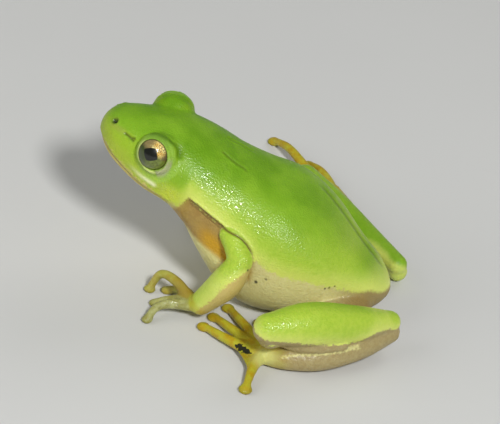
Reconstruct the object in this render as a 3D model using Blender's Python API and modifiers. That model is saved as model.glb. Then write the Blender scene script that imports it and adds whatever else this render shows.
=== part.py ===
"""A green tree frog, life size, sitting on its belly with all four feet on the floor.

The frog faces -Y and its left side is +X. Head, trunk, arms and thighs are fused to one body:
a loft for head and trunk, tubes for the limbs and digits, flat pads and webs. Thin cuts then
part it where a person would name its parts. Each shank is hollowed where it lies against the
thigh, and each tarsus with its foot where it lies against the shank.
Lengths below are in millimetres and are turned into metres by MM when a mesh is made.
"""
import math

import bmesh
import bpy
import numpy as np
from mathutils import Matrix, Vector

MM = 0.001

# ---------------------------------------------------------------- driving dimensions (mm)
SNOUT_TO_ORIGIN = 26.0      # distance from the snout tip back to the origin, under the belly
BODY_LENGTH = 39.6          # snout tip to the end of the rump, along the floor
SNOUT_ROUNDING = 2.6        # length over which the snout closes
RUMP_ROUNDING = 3.2         # length over which the rump closes
SECTION_POINTS = 48         # points round one section of the trunk
SECTION_STEP = 0.5          # spacing of the sections along the body

# Distance behind the snout, height of the widest point, of the back and of the belly,
# half width, squareness of the upper and of the lower half of the section.
BODY_STATIONS = (
    (0.0, 18.9, 21.7, 17.9, 2.9, 2.3, 2.1),
    (2.0, 17.7, 21.6, 16.2, 4.0, 2.4, 2.1),
    (4.0, 16.5, 21.8, 14.9, 5.0, 2.4, 1.9),
    (7.0, 15.4, 21.9, 13.3, 6.3, 2.3, 1.8),
    (10.0, 14.8, 21.8, 12.0, 7.0, 2.3, 1.8),
    (12.7, 13.9, 21.1, 9.2, 7.5, 2.3, 2.0),
    (15.0, 12.4, 20.2, 5.8, 8.0, 2.3, 2.2),
    (17.5, 10.6, 19.1, 2.5, 8.3, 2.3, 2.3),
    (21.0, 8.8, 17.7, 0.1, 9.0, 2.5, 2.4),
    (26.0, 7.9, 16.3, -0.2, 9.3, 2.7, 2.5),
    (30.6, 6.8, 13.6, 0.1, 8.0, 2.6, 2.4),
    (35.2, 5.0, 9.3, 0.9, 5.6, 2.4, 2.2),
    (39.6, 4.2, 6.2, 2.2, 3.3, 2.2, 2.1),
)

LID_CENTRE = (4.35, 7.9, 19.5)
RIGHT_LID_CENTRE = (-4.45, 8.25, 19.65)     # the head is turned a little
LID_RADIUS = 2.85
EYE_RADIUS = 2.3
EYE_LOOK = (0.93, -0.24, 0.28)      # the way the left eye faces
EYE_FORWARD = 0.75          # how far the eyeball stands out from the middle of its lids
SOCKET_GAP = 0.12           # clearance between an eyeball and its socket

FINGER_DISC = (1.5, 1.7, 0.95)      # width, length and thickness of the disc at a tip
TOE_DISC = (1.9, 1.9, 0.95)
DISC_SINK = 0.12            # how far a disc is set into the floor before it is cut flat
WEB_THICKNESS = 0.55

# Each limb is a list of bones: (x, y, z, radius) from the inner to the outer end of each.
LEFT_BONES = {
    "upper_arm": ((5.4, 16.8, 12.0, 1.4), (7.8, 19.0, 11.8, 1.4), (10.0, 20.9, 9.9, 1.55)),
    "forearm": ((10.0, 20.9, 9.9, 1.55), (10.7, 19.7, 6.9, 2.05), (10.0, 17.0, 2.5, 1.5)),
    "thigh": ((4.0, 35.2, 3.2, 2.6), (10.0, 31.8, 2.9, 2.25), (14.0, 29.2, 4.5, 1.8),
              (17.6, 26.6, 5.4, 1.7)),
    "shank": ((18.1, 26.2, 6.6, 1.95), (14.9, 30.8, 6.3, 2.8), (10.9, 36.2, 5.1, 2.4),
              (7.2, 40.4, 4.1, 1.45)),
    "tarsus": ((7.4, 40.7, 2.7, 1.35), (11.3, 37.4, 2.3, 1.65), (14.8, 33.0, 1.85, 1.7),
               (16.1, 29.0, 1.5, 1.45), (16.0, 26.2, 1.2, 1.2)),
}
LEFT_FINGERS = (
    ((9.2, 16.0, 1.9), (7.4, 14.8, 1.9), (6.2, 13.4, 1.1), (5.8, 12.2, 0.5)),
    ((9.5, 15.8, 2.1), (7.6, 13.4, 3.2), (6.2, 11.2, 2.9), (6.3, 10.1, 0.6)),
    ((9.8, 15.7, 2.0), (9.1, 13.8, 1.5), (9.0, 12.6, 1.1), (9.1, 11.3, 0.5)),
    ((10.1, 15.8, 1.9), (10.4, 13.7, 1.8), (11.3, 11.9, 1.5), (12.9, 11.0, 0.6)),
)
LEFT_TOES = (
    ((15.2, 26.8, 1.1), (12.8, 26.2, 1.0), (10.4, 25.4, 0.8), (8.4, 24.6, 0.5)),
    ((15.4, 26.0, 1.1), (12.0, 24.0, 1.1), (9.2, 22.0, 0.9), (6.7, 20.3, 0.5)),
    ((15.7, 25.8, 1.1), (13.1, 22.9, 1.1), (11.1, 20.7, 0.9), (9.3, 18.9, 0.5)),
    ((16.0, 25.6, 1.1), (14.9, 22.6, 1.1), (13.4, 20.0, 0.9), (11.8, 18.0, 0.5)),
    ((16.4, 26.0, 1.1), (18.4, 25.4, 1.1), (20.6, 25.2, 0.9), (22.8, 25.1, 0.5)),
)
RIGHT_BONES = {
    "upper_arm": ((-5.4, 16.2, 9.0, 1.6), (-8.4, 18.6, 9.4, 1.7), (-10.8, 21.6, 8.6, 1.65)),
    "forearm": ((-10.8, 21.6, 8.6, 1.65), (-11.4, 20.6, 6.0, 2.1), (-11.6, 19.0, 2.4, 1.55)),
    "thigh": ((-4.0, 35.2, 3.5, 2.8), (-11.6, 30.8, 3.1, 2.5), (-20.0, 25.8, 3.9, 1.9)),
    "shank": ((-20.6, 25.5, 4.4, 1.9), (-16.4, 30.2, 3.5, 2.25), (-12.0, 35.4, 2.8, 1.85),
              (-8.0, 39.8, 2.7, 1.3)),
    "tarsus": ((-8.4, 40.0, 1.45, 1.3), (-12.8, 36.7, 1.6, 1.4), (-18.2, 32.8, 1.4, 1.4),
               (-23.8, 29.2, 1.2, 1.2)),
}
RIGHT_FINGERS = (
    ((-11.0, 18.0, 1.9), (-10.0, 16.8, 1.8), (-9.2, 15.8, 1.1), (-8.8, 14.9, 0.5)),
    ((-11.3, 17.8, 2.1), (-11.0, 15.6, 2.2), (-10.6, 14.0, 1.6), (-10.5, 12.9, 0.6)),
    ((-11.7, 17.8, 2.0), (-12.8, 15.8, 1.9), (-13.4, 14.2, 1.5), (-13.7, 13.1, 0.6)),
    ((-12.0, 18.0, 1.9), (-14.0, 17.0, 1.8), (-15.6, 15.9, 1.3), (-16.8, 15.2, 0.6)),
)
RIGHT_TOES = (
    ((-23.6, 28.9, 1.1), (-23.1, 26.8, 1.0), (-22.8, 25.0, 0.8), (-22.6, 23.4, 0.5)),
    ((-23.9, 28.6, 1.1), (-24.6, 26.0, 1.1), (-25.2, 23.6, 0.9), (-25.8, 21.4, 0.5)),
    ((-24.2, 28.6, 1.1), (-26.0, 25.8, 1.2), (-27.6, 23.2, 1.1), (-29.0, 20.8, 0.5)),
    ((-24.4, 28.6, 1.1), (-27.6, 25.3, 1.5), (-31.2, 22.3, 1.8), (-34.4, 19.9, 0.6)),
    ((-24.3, 29.2, 1.1), (-26.6, 28.2, 1.2), (-28.7, 26.9, 1.1), (-30.5, 25.3, 0.5)),
)
FINGER_RADIUS = (0.8, 0.68, 0.58, 0.5)
TOE_RADIUS = (0.9, 0.72, 0.6, 0.5)
FINGER_WEB = (0.42, 0.42, 0.42)     # share of a digit's length that each web reaches
TOE_WEB = (0.45, 0.50, 0.52, 0.66)
WEB_NOTCH = 0.16            # how far the web's free edge is drawn in between two digits

FUSE_VOXEL = 0.26           # grid of the remesh that fuses the pieces
FUSE_SMOOTHING = 5
BODY_TRIANGLES = 3300       # of head, trunk, arms and thighs before they are parted
SHANK_TRIANGLES = 260
FOOT_TRIANGLES = 800        # of one tarsus with its foot

CUT = 0.3                   # width of each parting cut
FOLD_GAP = 0.3              # clearance between bones folded against each other
NECK = ((0.0, 12.9, 15.0), (0.0, 0.91, -0.42), (10.0, 8.5))
SHOULDER_SLAB = ((8.7, 18.9, 9.0), (1.0, -0.14, 0.0), (4.4, 5.2))
HIP_SLAB = ((7.2, 33.0, 4.0), (0.928, 0.371, 0.0), (5.9, 4.6))
ELBOW_SLAB = ((3.4, 3.0), 0.8)   # half sizes, reach inwards from the joint
WRIST_CUT = 0.93            # shares of a bone's or a digit's length where it is parted
ANKLE_CUT = 0.9
TOE_CUT = 0.7
FINGER_CUT = 0.62
SMALLEST_PIECE = 0.4        # mm3; smaller scraps left by the cuts are dropped


# ---------------------------------------------------------------- scene and materials
def clear_scene():
    for obj in list(bpy.data.objects):
        bpy.data.objects.remove(obj, do_unlink=True)


def new_collection(name):
    collection = bpy.data.collections.new(name)
    bpy.context.scene.collection.children.link(collection)
    return collection


def new_material(name, colour, roughness, metallic=0.0):
    material = bpy.data.materials.new(name)
    material.use_nodes = True
    shader = material.node_tree.nodes["Principled BSDF"]
    shader.inputs["Base Color"].default_value = (*colour, 1.0)
    shader.inputs["Roughness"].default_value = roughness
    shader.inputs["Metallic"].default_value = metallic
    material.diffuse_color = (*colour, 1.0)
    return material


def to_world(point):
    """Millimetres behind the snout to metres from the origin."""
    return Vector((point[0], point[1] - SNOUT_TO_ORIGIN, point[2])) * MM


def object_from(bm, name, collection):
    mesh = bpy.data.meshes.new(name)
    bm.to_mesh(mesh)
    bm.free()
    obj = bpy.data.objects.new(name, mesh)
    collection.objects.link(obj)
    return obj


def evaluated_copy(obj, name, collection):
    """The object's modifiers applied, as a new plain mesh object; the old one goes."""
    graph = bpy.context.evaluated_depsgraph_get()
    graph.update()
    mesh = bpy.data.meshes.new_from_object(obj.evaluated_get(graph))
    copy = bpy.data.objects.new(name, mesh)
    copy.matrix_world = obj.matrix_world
    collection.objects.link(copy)
    bpy.data.objects.remove(obj, do_unlink=True)
    return copy


# ---------------------------------------------------------------- smooth rows and routes
def smooth_value(rows, column, y):
    """One column of a table at distance y, on a smooth curve through the rows."""
    ys = np.array([row[0] for row in rows])
    values = np.array([row[column] for row in rows])
    slopes = np.gradient(values, ys)
    i = int(np.clip(np.searchsorted(ys, y) - 1, 0, len(ys) - 2))
    width = ys[i + 1] - ys[i]
    t = (y - ys[i]) / width
    return ((2 * t**3 - 3 * t**2 + 1) * values[i] + (t**3 - 2 * t**2 + t) * width * slopes[i]
            + (3 * t**2 - 2 * t**3) * values[i + 1] + (t**3 - t**2) * width * slopes[i + 1])


def smooth_route(points, steps):
    """Points on a smooth curve through the given ones, evenly spread between them."""
    rows = [(i, *point) for i, point in enumerate(points)]
    columns = range(1, len(rows[0]))
    last = len(points) - 1
    return [tuple(smooth_value(rows, c, last * k / steps) for c in columns)
            for k in range(steps + 1)]


# ---------------------------------------------------------------- pieces of the body
def end_rounding(y):
    """Shrinks the sections to a round end at the snout and at the rump."""
    inside = 1.0
    for distance, length in ((y, SNOUT_ROUNDING), (BODY_LENGTH - y, RUMP_ROUNDING)):
        if distance < length:
            inside *= math.sqrt(max(0.0, 1 - (1 - distance / length) ** 2))
    return inside


def body_section(y):
    """One section across the body: a superellipse with unlike upper and lower halves."""
    side, top, bottom, half_width, upper, lower = (
        smooth_value(BODY_STATIONS, c, y) for c in range(1, 7))
    inside = end_rounding(y)
    ring = []
    for k in range(SECTION_POINTS):
        angle = 2 * math.pi * k / SECTION_POINTS
        across, along = math.cos(angle), math.sin(angle)
        power = 2 / (upper if along > 0 else lower)
        height = (top - side) if along > 0 else (side - bottom)
        ring.append((inside * half_width * math.copysign(abs(across) ** power, across), y,
                     side + inside * height * math.copysign(abs(along) ** power, along)))
    return ring


def loft_body(bm):
    """Head and trunk: sections from snout to rump, closed at both ends."""
    count = round(BODY_LENGTH / SECTION_STEP)
    ys = [BODY_LENGTH * (1 - math.cos(math.pi * k / count)) / 2 for k in range(1, count)]
    rings = [[bm.verts.new(to_world(p)) for p in body_section(y)] for y in ys]
    for ring, following in zip(rings, rings[1:]):
        for k in range(SECTION_POINTS):
            after = (k + 1) % SECTION_POINTS
            bm.faces.new((ring[k], ring[after], following[after], following[k]))
    bm.faces.new(reversed(rings[0]))
    bm.faces.new(rings[-1])


def add_ball(bm, centre, radii, turn=None):
    """An ellipsoid of the given half sizes, turned by a 3 x 3 rotation."""
    scale = Matrix.Diagonal((*[r * MM for r in radii], 1.0))
    rotation = (turn or Matrix.Identity(3)).to_4x4()
    place = Matrix.Translation(to_world(centre)) @ rotation @ scale
    bmesh.ops.create_uvsphere(bm, u_segments=16, v_segments=10, radius=1.0, matrix=place)


def add_tube(bm, points, radii, flatten=1.0):
    """A tube along a smooth route: a curve with a bevel, its radius given at each point."""
    rows = [(*point, radius) for point, radius in zip(points, radii)]
    route = smooth_route(rows, 6 * (len(points) - 1))
    curve = bpy.data.curves.new("tube", "CURVE")
    curve.dimensions = "3D"
    curve.bevel_depth = MM
    curve.bevel_resolution = 4
    curve.use_fill_caps = True
    spline = curve.splines.new("POLY")
    spline.points.add(len(route) - 1)
    for point, row in zip(spline.points, route):
        point.co = (*to_world(row[:3]), 1.0)
        point.radius = row[3]
    obj = bpy.data.objects.new("tube", curve)
    bpy.context.scene.collection.objects.link(obj)
    graph = bpy.context.evaluated_depsgraph_get()
    graph.update()
    mesh = bpy.data.meshes.new_from_object(obj.evaluated_get(graph))
    bpy.data.objects.remove(obj, do_unlink=True)
    tube = bmesh.new()
    tube.from_mesh(mesh)
    bmesh.ops.remove_doubles(tube, verts=tube.verts, dist=1e-6)
    tube.to_mesh(mesh)
    tube.free()
    bm.from_mesh(mesh)
    bpy.data.meshes.remove(mesh)
    for end, radius in ((route[0], radii[0]), (route[-1], radii[-1])):
        add_ball(bm, end[:3], (radius, radius, radius * flatten))


def heading(points):
    """Rotation that turns +Y along the last stretch of a route, kept level."""
    along = Vector(points[-1]) - Vector(points[-2])
    return Matrix.Rotation(math.atan2(-along.x, along.y), 3, "Z")


def add_digit(bm, points, radii, disc):
    """A finger or toe with its flat disc."""
    add_tube(bm, points, radii)
    tip = points[-1]
    half = tuple(size / 2 for size in disc)
    add_ball(bm, (tip[0], tip[1], half[2] - DISC_SINK), half, heading(points))


def add_web(bm, first, second, reach):
    """The web between two digits: a thin sheet whose free edge is drawn in."""
    across, along, steps = 6, 6, 60
    routes = [smooth_route(digit, steps) for digit in (first, second)]
    lengths = [(Vector(digit[-1]) - Vector(digit[0])).length for digit in (first, second)]
    shares = [reach * min(lengths) / length for length in lengths]
    top, under = [], []
    for i in range(across + 1):
        v = i / across
        inward = 1 - WEB_NOTCH * 4 * v * (1 - v)
        top.append([])
        under.append([])
        for j in range(along + 1):
            a, b = (Vector(route[round(steps * share * inward * j / along)])
                    for route, share in zip(routes, shares))
            point = a.lerp(b, v)
            for grid, lift in ((top[-1], WEB_THICKNESS / 2), (under[-1], -WEB_THICKNESS / 2)):
                grid.append(bm.verts.new(to_world(point + Vector((0, 0, lift)))))
    edge = ([(0, j) for j in range(along)] + [(i, along) for i in range(across)]
            + [(across, j) for j in range(along, 0, -1)] + [(i, 0) for i in range(across, 0, -1)])
    for i in range(across):
        for j in range(along):
            bm.faces.new((top[i][j], top[i + 1][j], top[i + 1][j + 1], top[i][j + 1]))
            bm.faces.new((under[i][j], under[i][j + 1], under[i + 1][j + 1], under[i + 1][j]))
    for (i, j), (m, n) in zip(edge, edge[1:] + edge[:1]):
        bm.faces.new((top[i][j], top[m][n], under[m][n], under[i][j]))


def add_bone(bm, rows, swelling=0.0):
    add_tube(bm, [row[:3] for row in rows], [row[3] + swelling for row in rows])


def add_digits(bm, digits, radii, disc, webs):
    for points in digits:
        add_digit(bm, points, radii, disc)
    for first, second, reach in zip(digits, digits[1:], webs):
        add_web(bm, first, second, reach)


def mirrored(vector, side):
    return (side * vector[0], *vector[1:])


def lid_centre(side):
    return LID_CENTRE if side > 0 else RIGHT_LID_CENTRE


def eye_centre(side):
    return Vector(lid_centre(side)) + Vector(mirrored(EYE_LOOK, side)).normalized() * EYE_FORWARD


def add_eyelids(bm):
    for side in (1, -1):
        add_ball(bm, lid_centre(side), (LID_RADIUS,) * 3)


# ---------------------------------------------------------------- fusing and parting
def fused(bm, triangles):
    """All pieces of a bmesh made one closed skin, smoothed, thinned and set flat on the floor."""
    scene = bpy.context.scene.collection
    body = object_from(bm, "body", scene)
    remesh = body.modifiers.new("fuse", "REMESH")
    remesh.mode = "VOXEL"
    remesh.voxel_size = FUSE_VOXEL * MM
    smooth = body.modifiers.new("smooth", "SMOOTH")
    smooth.factor = 0.5
    smooth.iterations = FUSE_SMOOTHING
    body = evaluated_copy(body, "body", scene)
    thin = body.modifiers.new("thin", "DECIMATE")
    thin.ratio = triangles / (2 * len(body.data.polygons))
    body = evaluated_copy(body, "body", scene)
    for vertex in body.data.vertices:
        vertex.co.z = max(vertex.co.z, 0.0)
    shells = loose_pieces(body.data)
    bpy.data.objects.remove(body, do_unlink=True)
    return shells[0]


def fused_body():
    """Head, trunk, arms with their hands, and thighs."""
    bm = bmesh.new()
    loft_body(bm)
    add_eyelids(bm)
    for bones, fingers in ((LEFT_BONES, LEFT_FINGERS), (RIGHT_BONES, RIGHT_FINGERS)):
        add_bone(bm, bones["upper_arm"])
        add_bone(bm, bones["forearm"])
        add_bone(bm, bones["thigh"])
        add_digits(bm, fingers, FINGER_RADIUS, FINGER_DISC, FINGER_WEB)
    return fused(bm, BODY_TRIANGLES)


def fused_shank(bones):
    bm = bmesh.new()
    add_bone(bm, bones["shank"])
    return fused(bm, SHANK_TRIANGLES)


def fused_foot(bones, toes):
    """A tarsus with its foot and toes."""
    bm = bmesh.new()
    add_bone(bm, bones["tarsus"])
    add_digits(bm, toes, TOE_RADIUS, TOE_DISC, TOE_WEB)
    return fused(bm, FOOT_TRIANGLES)


def add_slab(name, centre, normal, half_sizes, lengthwise, collection):
    """A thin box that cuts square to the normal; its first half size runs lengthwise."""
    normal = Vector(normal).normalized()
    lengthwise = Vector(lengthwise)
    lengthwise = (lengthwise - lengthwise.project(normal)).normalized()
    turn = Matrix((lengthwise, normal.cross(lengthwise), normal)).transposed().to_4x4()
    sizes = (2 * half_sizes[0] * MM, 2 * half_sizes[1] * MM, CUT * MM, 1.0)
    bm = bmesh.new()
    bmesh.ops.create_cube(bm, size=1.0, matrix=Matrix.Translation(to_world(centre)) @ turn
                          @ Matrix.Diagonal(sizes))
    return as_cutter(object_from(bm, name, collection))


def as_cutter(obj):
    obj.hide_render = True
    obj.display_type = "WIRE"
    return obj


def between_bones(name, inner, outer, slab, collection):
    """The slab that parts two bones folded on each other, from past their joint inwards."""
    half_sizes, reach = slab
    joint = (Vector(inner[-1][:3]) + Vector(outer[0][:3])) / 2
    to_inner = (Vector(inner[-2][:3]) - joint).normalized()
    to_outer = (Vector(outer[1][:3]) - joint).normalized()
    along = (to_inner + to_outer).normalized()
    return add_slab(name, joint + along * reach, to_inner - to_outer, half_sizes, along,
                    collection)


def across_route(name, points, share, half, collection):
    """The slab that cuts square across a digit or a bone at a share of its length."""
    route = [Vector(point[:3]) for point in smooth_route(points, 100)]
    place = round(100 * share)
    along = route[min(place + 3, 100)] - route[place - 3]
    return add_slab(name, route[place], along, (half, half), (0.0, 0.0, 1.0), collection)


def add_eyeball(name, side, radius, collection):
    bm = bmesh.new()
    add_ball(bm, eye_centre(side), (radius,) * 3)
    return object_from(bm, name, collection)


def loose_pieces(mesh):
    """The closed pieces of a mesh, the largest first; scraps and inner shells are dropped."""
    whole = bmesh.new()
    whole.from_mesh(mesh)
    bmesh.ops.triangulate(whole, faces=whole.faces)
    waiting = set(whole.verts)
    pieces = []
    while waiting:
        reached = {waiting.pop()}
        front = list(reached)
        while front:
            for edge in front.pop().link_edges:
                for vertex in edge.verts:
                    if vertex in waiting:
                        waiting.remove(vertex)
                        reached.add(vertex)
                        front.append(vertex)
        kept = {vertex.index for vertex in reached}
        piece = whole.copy()
        bmesh.ops.delete(piece, geom=[v for v in piece.verts if v.index not in kept],
                         context="VERTS")
        if piece.calc_volume(signed=True) > SMALLEST_PIECE * MM**3:
            pieces.append(piece)
        else:
            piece.free()
    whole.free()
    return sorted(pieces, key=lambda piece: -piece.calc_volume())


def cut(bm, cutter):
    """The pieces left when a cutter is taken out of a bmesh, which is used up."""
    obj = object_from(bm, "being_cut", bpy.context.scene.collection)
    taken = obj.modifiers.new("cut", "BOOLEAN")
    taken.operation = "DIFFERENCE"
    taken.object = cutter
    obj = evaluated_copy(obj, "cut", bpy.context.scene.collection)
    pieces = loose_pieces(obj.data)
    bpy.data.objects.remove(obj, do_unlink=True)
    return pieces


def cut_off(bm, cutter, place):
    """Parts a bmesh in two: the piece whose middle is nearest to a place, and the other."""
    pieces = cut(bm, cutter)[:2]
    if len(pieces) < 2:
        raise ValueError(f"{cutter.name} parts nothing")
    target = to_world(place)
    pieces.sort(key=lambda piece: (middle([v.co for v in piece.verts]) - target).length)
    return pieces


def middle(points):
    return sum((Vector(point[:3]) for point in points), Vector()) / len(points)


def part_digits(nodes, label, kind, base, digits, share, cutters):
    """Cuts the free end of each digit off a hand or a foot."""
    for number, points in enumerate(digits, 1):
        name = f"{label}_{kind}_{number}"
        cutter = across_route(f"{name}_cut", points, share, 1.15, cutters)
        nodes[name], nodes[base] = cut_off(nodes[base], cutter, points[-1])


def part_arm(nodes, label, side, bones, fingers, cutters):
    centre, normal, half_sizes = SHOULDER_SLAB
    along = mirrored((-normal[1], normal[0], 0.0), side)
    shoulder = add_slab(f"{label}_shoulder_cut", mirrored(centre, side), mirrored(normal, side),
                        half_sizes, along, cutters)
    arm, nodes["trunk"] = cut_off(nodes["trunk"], shoulder, bones["forearm"][0])
    elbow = between_bones(f"{label}_elbow_cut", bones["upper_arm"], bones["forearm"],
                          ELBOW_SLAB, cutters)
    arm, nodes[f"{label}_upper_arm"] = cut_off(arm, elbow, bones["forearm"][-1])
    wrist = across_route(f"{label}_wrist_cut", bones["forearm"], WRIST_CUT, 2.4, cutters)
    hand, nodes[f"{label}_forearm"] = cut_off(arm, wrist, fingers[1][2])
    nodes[f"{label}_hand"] = hand
    part_digits(nodes, label, "finger", f"{label}_hand", fingers, FINGER_CUT, cutters)


def swollen_bone(name, rows, collection):
    """A bone with its clearance, as the cutter that hollows its neighbour."""
    bm = bmesh.new()
    add_bone(bm, rows, FOLD_GAP)
    return as_cutter(object_from(fused(bm, SHANK_TRIANGLES), name, collection))


def part_leg(nodes, label, side, bones, toes, cutters):
    centre, normal, half_sizes = HIP_SLAB
    along = mirrored((-normal[1], normal[0], 0.0), side)
    hip = add_slab(f"{label}_hip_cut", mirrored(centre, side), mirrored(normal, side),
                   half_sizes, along, cutters)
    nodes[f"{label}_thigh"], nodes["trunk"] = cut_off(nodes["trunk"], hip, bones["thigh"][-1])
    thigh_cut = swollen_bone(f"{label}_thigh_hollow", bones["thigh"], cutters)
    shank_cut = swollen_bone(f"{label}_shank_hollow", bones["shank"], cutters)
    nodes[f"{label}_shank"] = cut(fused_shank(bones), thigh_cut)[0]
    lower = cut(cut(fused_foot(bones, toes), thigh_cut)[0], shank_cut)[0]
    ankle = across_route(f"{label}_ankle_cut", bones["tarsus"], ANKLE_CUT, 2.0, cutters)
    foot, nodes[f"{label}_tarsus"] = cut_off(lower, ankle, toes[2][2])
    nodes[f"{label}_foot"] = foot
    part_digits(nodes, label, "toe", f"{label}_foot", toes, TOE_CUT, cutters)


def part_frog(body, cutters):
    """The frog as named pieces, cut apart from the trunk outwards."""
    for label, side in (("left", 1), ("right", -1)):
        socket = add_eyeball(f"{label}_socket_cut", side, EYE_RADIUS + SOCKET_GAP, cutters)
        body = cut(body, as_cutter(socket))[0]
    neck = add_slab("neck_cut", *NECK, (1.0, 0.0, 0.0), cutters)
    nodes = {}
    nodes["head"], nodes["trunk"] = cut_off(body, neck, LID_CENTRE)
    part_arm(nodes, "left", 1, LEFT_BONES, LEFT_FINGERS, cutters)
    part_arm(nodes, "right", -1, RIGHT_BONES, RIGHT_FINGERS, cutters)
    part_leg(nodes, "left", 1, LEFT_BONES, LEFT_TOES, cutters)
    part_leg(nodes, "right", -1, RIGHT_BONES, RIGHT_TOES, cutters)
    return nodes


# ---------------------------------------------------------------- colours
def paint(nodes):
    back = new_material("back_green", (0.24, 0.40, 0.04), 0.38)
    limb = new_material("limb_green", (0.38, 0.52, 0.06), 0.38)
    cream = new_material("belly_cream", (0.62, 0.52, 0.34), 0.45)
    digit = new_material("digit_yellow", (0.52, 0.40, 0.08), 0.40)
    eye = new_material("eye_bronze", (0.30, 0.18, 0.06), 0.08)
    by_word = (("eye", eye), ("finger", digit), ("toe", digit), ("hand", digit), ("foot", digit),
               ("tarsus", cream), ("arm", limb), ("thigh", limb), ("shank", limb))
    for name, obj in nodes.items():
        found = [material for word, material in by_word if word in name]
        obj.data.materials.append(found[0] if found else back)
        if "eye" in name:
            obj.data.shade_smooth()


def main():
    clear_scene()
    frog = new_collection("tree_frog")
    cutters = new_collection("cutters")
    pieces = part_frog(fused_body(), cutters)
    nodes = {name: object_from(piece, name, frog) for name, piece in pieces.items()}
    nodes["left_eye"] = add_eyeball("left_eye", 1, EYE_RADIUS, frog)
    nodes["right_eye"] = add_eyeball("right_eye", -1, EYE_RADIUS, frog)
    paint(nodes)


main()
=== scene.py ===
"""Looks of the green tree frog: one skin over the whole body, two eyes, floor, light, camera.

The skin is fused from the same bones, digits and body sections as the solids, then shaped
further: mouth, lids, nostrils, folds, thin webs and granules. Fields worked out from the body
itself, such as which bone is near or how far a point lies above the edge of the green, are kept
on the skin and feed one procedural material. Lengths are in millimetres behind the snout tip,
to the left of the middle and above the floor, turned into metres by MM.
"""

import itertools
import math

import bmesh
import bpy
import numpy as np
from mathutils import Matrix, Vector
from mathutils.bvhtree import BVHTree

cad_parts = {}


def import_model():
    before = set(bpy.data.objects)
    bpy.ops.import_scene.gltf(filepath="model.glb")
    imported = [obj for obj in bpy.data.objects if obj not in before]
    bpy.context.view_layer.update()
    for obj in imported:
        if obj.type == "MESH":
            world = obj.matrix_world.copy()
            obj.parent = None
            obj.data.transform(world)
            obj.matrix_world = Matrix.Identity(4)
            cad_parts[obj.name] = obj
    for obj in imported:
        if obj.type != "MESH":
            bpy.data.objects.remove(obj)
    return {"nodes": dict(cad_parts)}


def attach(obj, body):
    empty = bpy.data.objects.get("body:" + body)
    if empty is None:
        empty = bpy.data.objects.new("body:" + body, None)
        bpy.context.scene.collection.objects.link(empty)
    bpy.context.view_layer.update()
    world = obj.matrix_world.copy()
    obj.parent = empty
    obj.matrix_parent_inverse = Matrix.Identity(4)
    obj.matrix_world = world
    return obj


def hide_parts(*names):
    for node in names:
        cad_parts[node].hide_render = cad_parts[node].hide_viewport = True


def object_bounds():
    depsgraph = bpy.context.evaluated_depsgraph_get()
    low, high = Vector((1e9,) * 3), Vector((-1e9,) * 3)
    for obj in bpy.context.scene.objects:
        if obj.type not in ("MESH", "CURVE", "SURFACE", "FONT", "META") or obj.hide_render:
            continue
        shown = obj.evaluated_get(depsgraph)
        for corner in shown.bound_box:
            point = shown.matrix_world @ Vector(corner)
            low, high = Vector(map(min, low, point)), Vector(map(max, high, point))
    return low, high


MM = 0.001

# ------------ driving dimensions (mm)
SNOUT_TO_ORIGIN = 26.0      # distance from the snout tip back to the origin, under the belly
BODY_LENGTH = 39.6          # snout tip to the end of the rump, along the floor
SNOUT_ROUNDING = 2.6        # length over which the snout closes
RUMP_ROUNDING = 3.2         # length over which the rump closes
SECTION_POINTS = 48         # points round one section of the trunk
SECTION_STEP = 0.5          # spacing of the sections along the body
TUBE_POINTS = 20            # points round a limb

# Distance behind the snout, height of the widest point, of the back and of the belly,
# half width, squareness of the upper and of the lower half of the section.
BODY_STATIONS = (
    (0.0, 18.9, 21.7, 17.9, 2.9, 2.3, 2.1),
    (2.0, 17.7, 21.6, 16.2, 4.0, 2.4, 2.1),
    (4.0, 16.5, 21.8, 14.9, 5.0, 2.4, 1.9),
    (7.0, 15.4, 21.9, 13.3, 6.3, 2.3, 1.8),
    (10.0, 14.8, 21.8, 12.0, 7.0, 2.3, 1.8),
    (12.7, 13.9, 21.1, 9.2, 7.5, 2.3, 2.0),
    (15.0, 12.4, 20.2, 5.8, 8.0, 2.3, 2.2),
    (17.5, 10.6, 19.1, 2.5, 8.3, 2.3, 2.3),
    (21.0, 8.8, 17.7, 0.1, 9.0, 2.5, 2.4),
    (26.0, 7.9, 16.3, -0.2, 9.3, 2.7, 2.5),
    (30.6, 6.8, 13.6, 0.1, 8.0, 2.6, 2.4),
    (35.2, 5.0, 9.3, 0.9, 5.6, 2.4, 2.2),
    (39.6, 4.2, 6.2, 2.2, 3.3, 2.2, 2.1),
)

LID_CENTRE = (4.35, 7.9, 19.5)
RIGHT_LID_CENTRE = (-4.45, 8.25, 19.65)     # the head is turned a little
LID_RADIUS = 2.85
EYE_RADIUS = 2.3
EYE_LOOK = (0.93, -0.24, 0.28)      # the way the left eye faces
EYE_FORWARD = 0.75          # how far the eyeball stands out from the middle of its lids

FINGER_DISC = (1.5, 1.7, 0.95)      # width, length and thickness of the disc at a tip
TOE_DISC = (1.9, 1.9, 0.95)
DISC_SINK = 0.12            # how far a disc is set into the floor before it is cut flat

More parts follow.
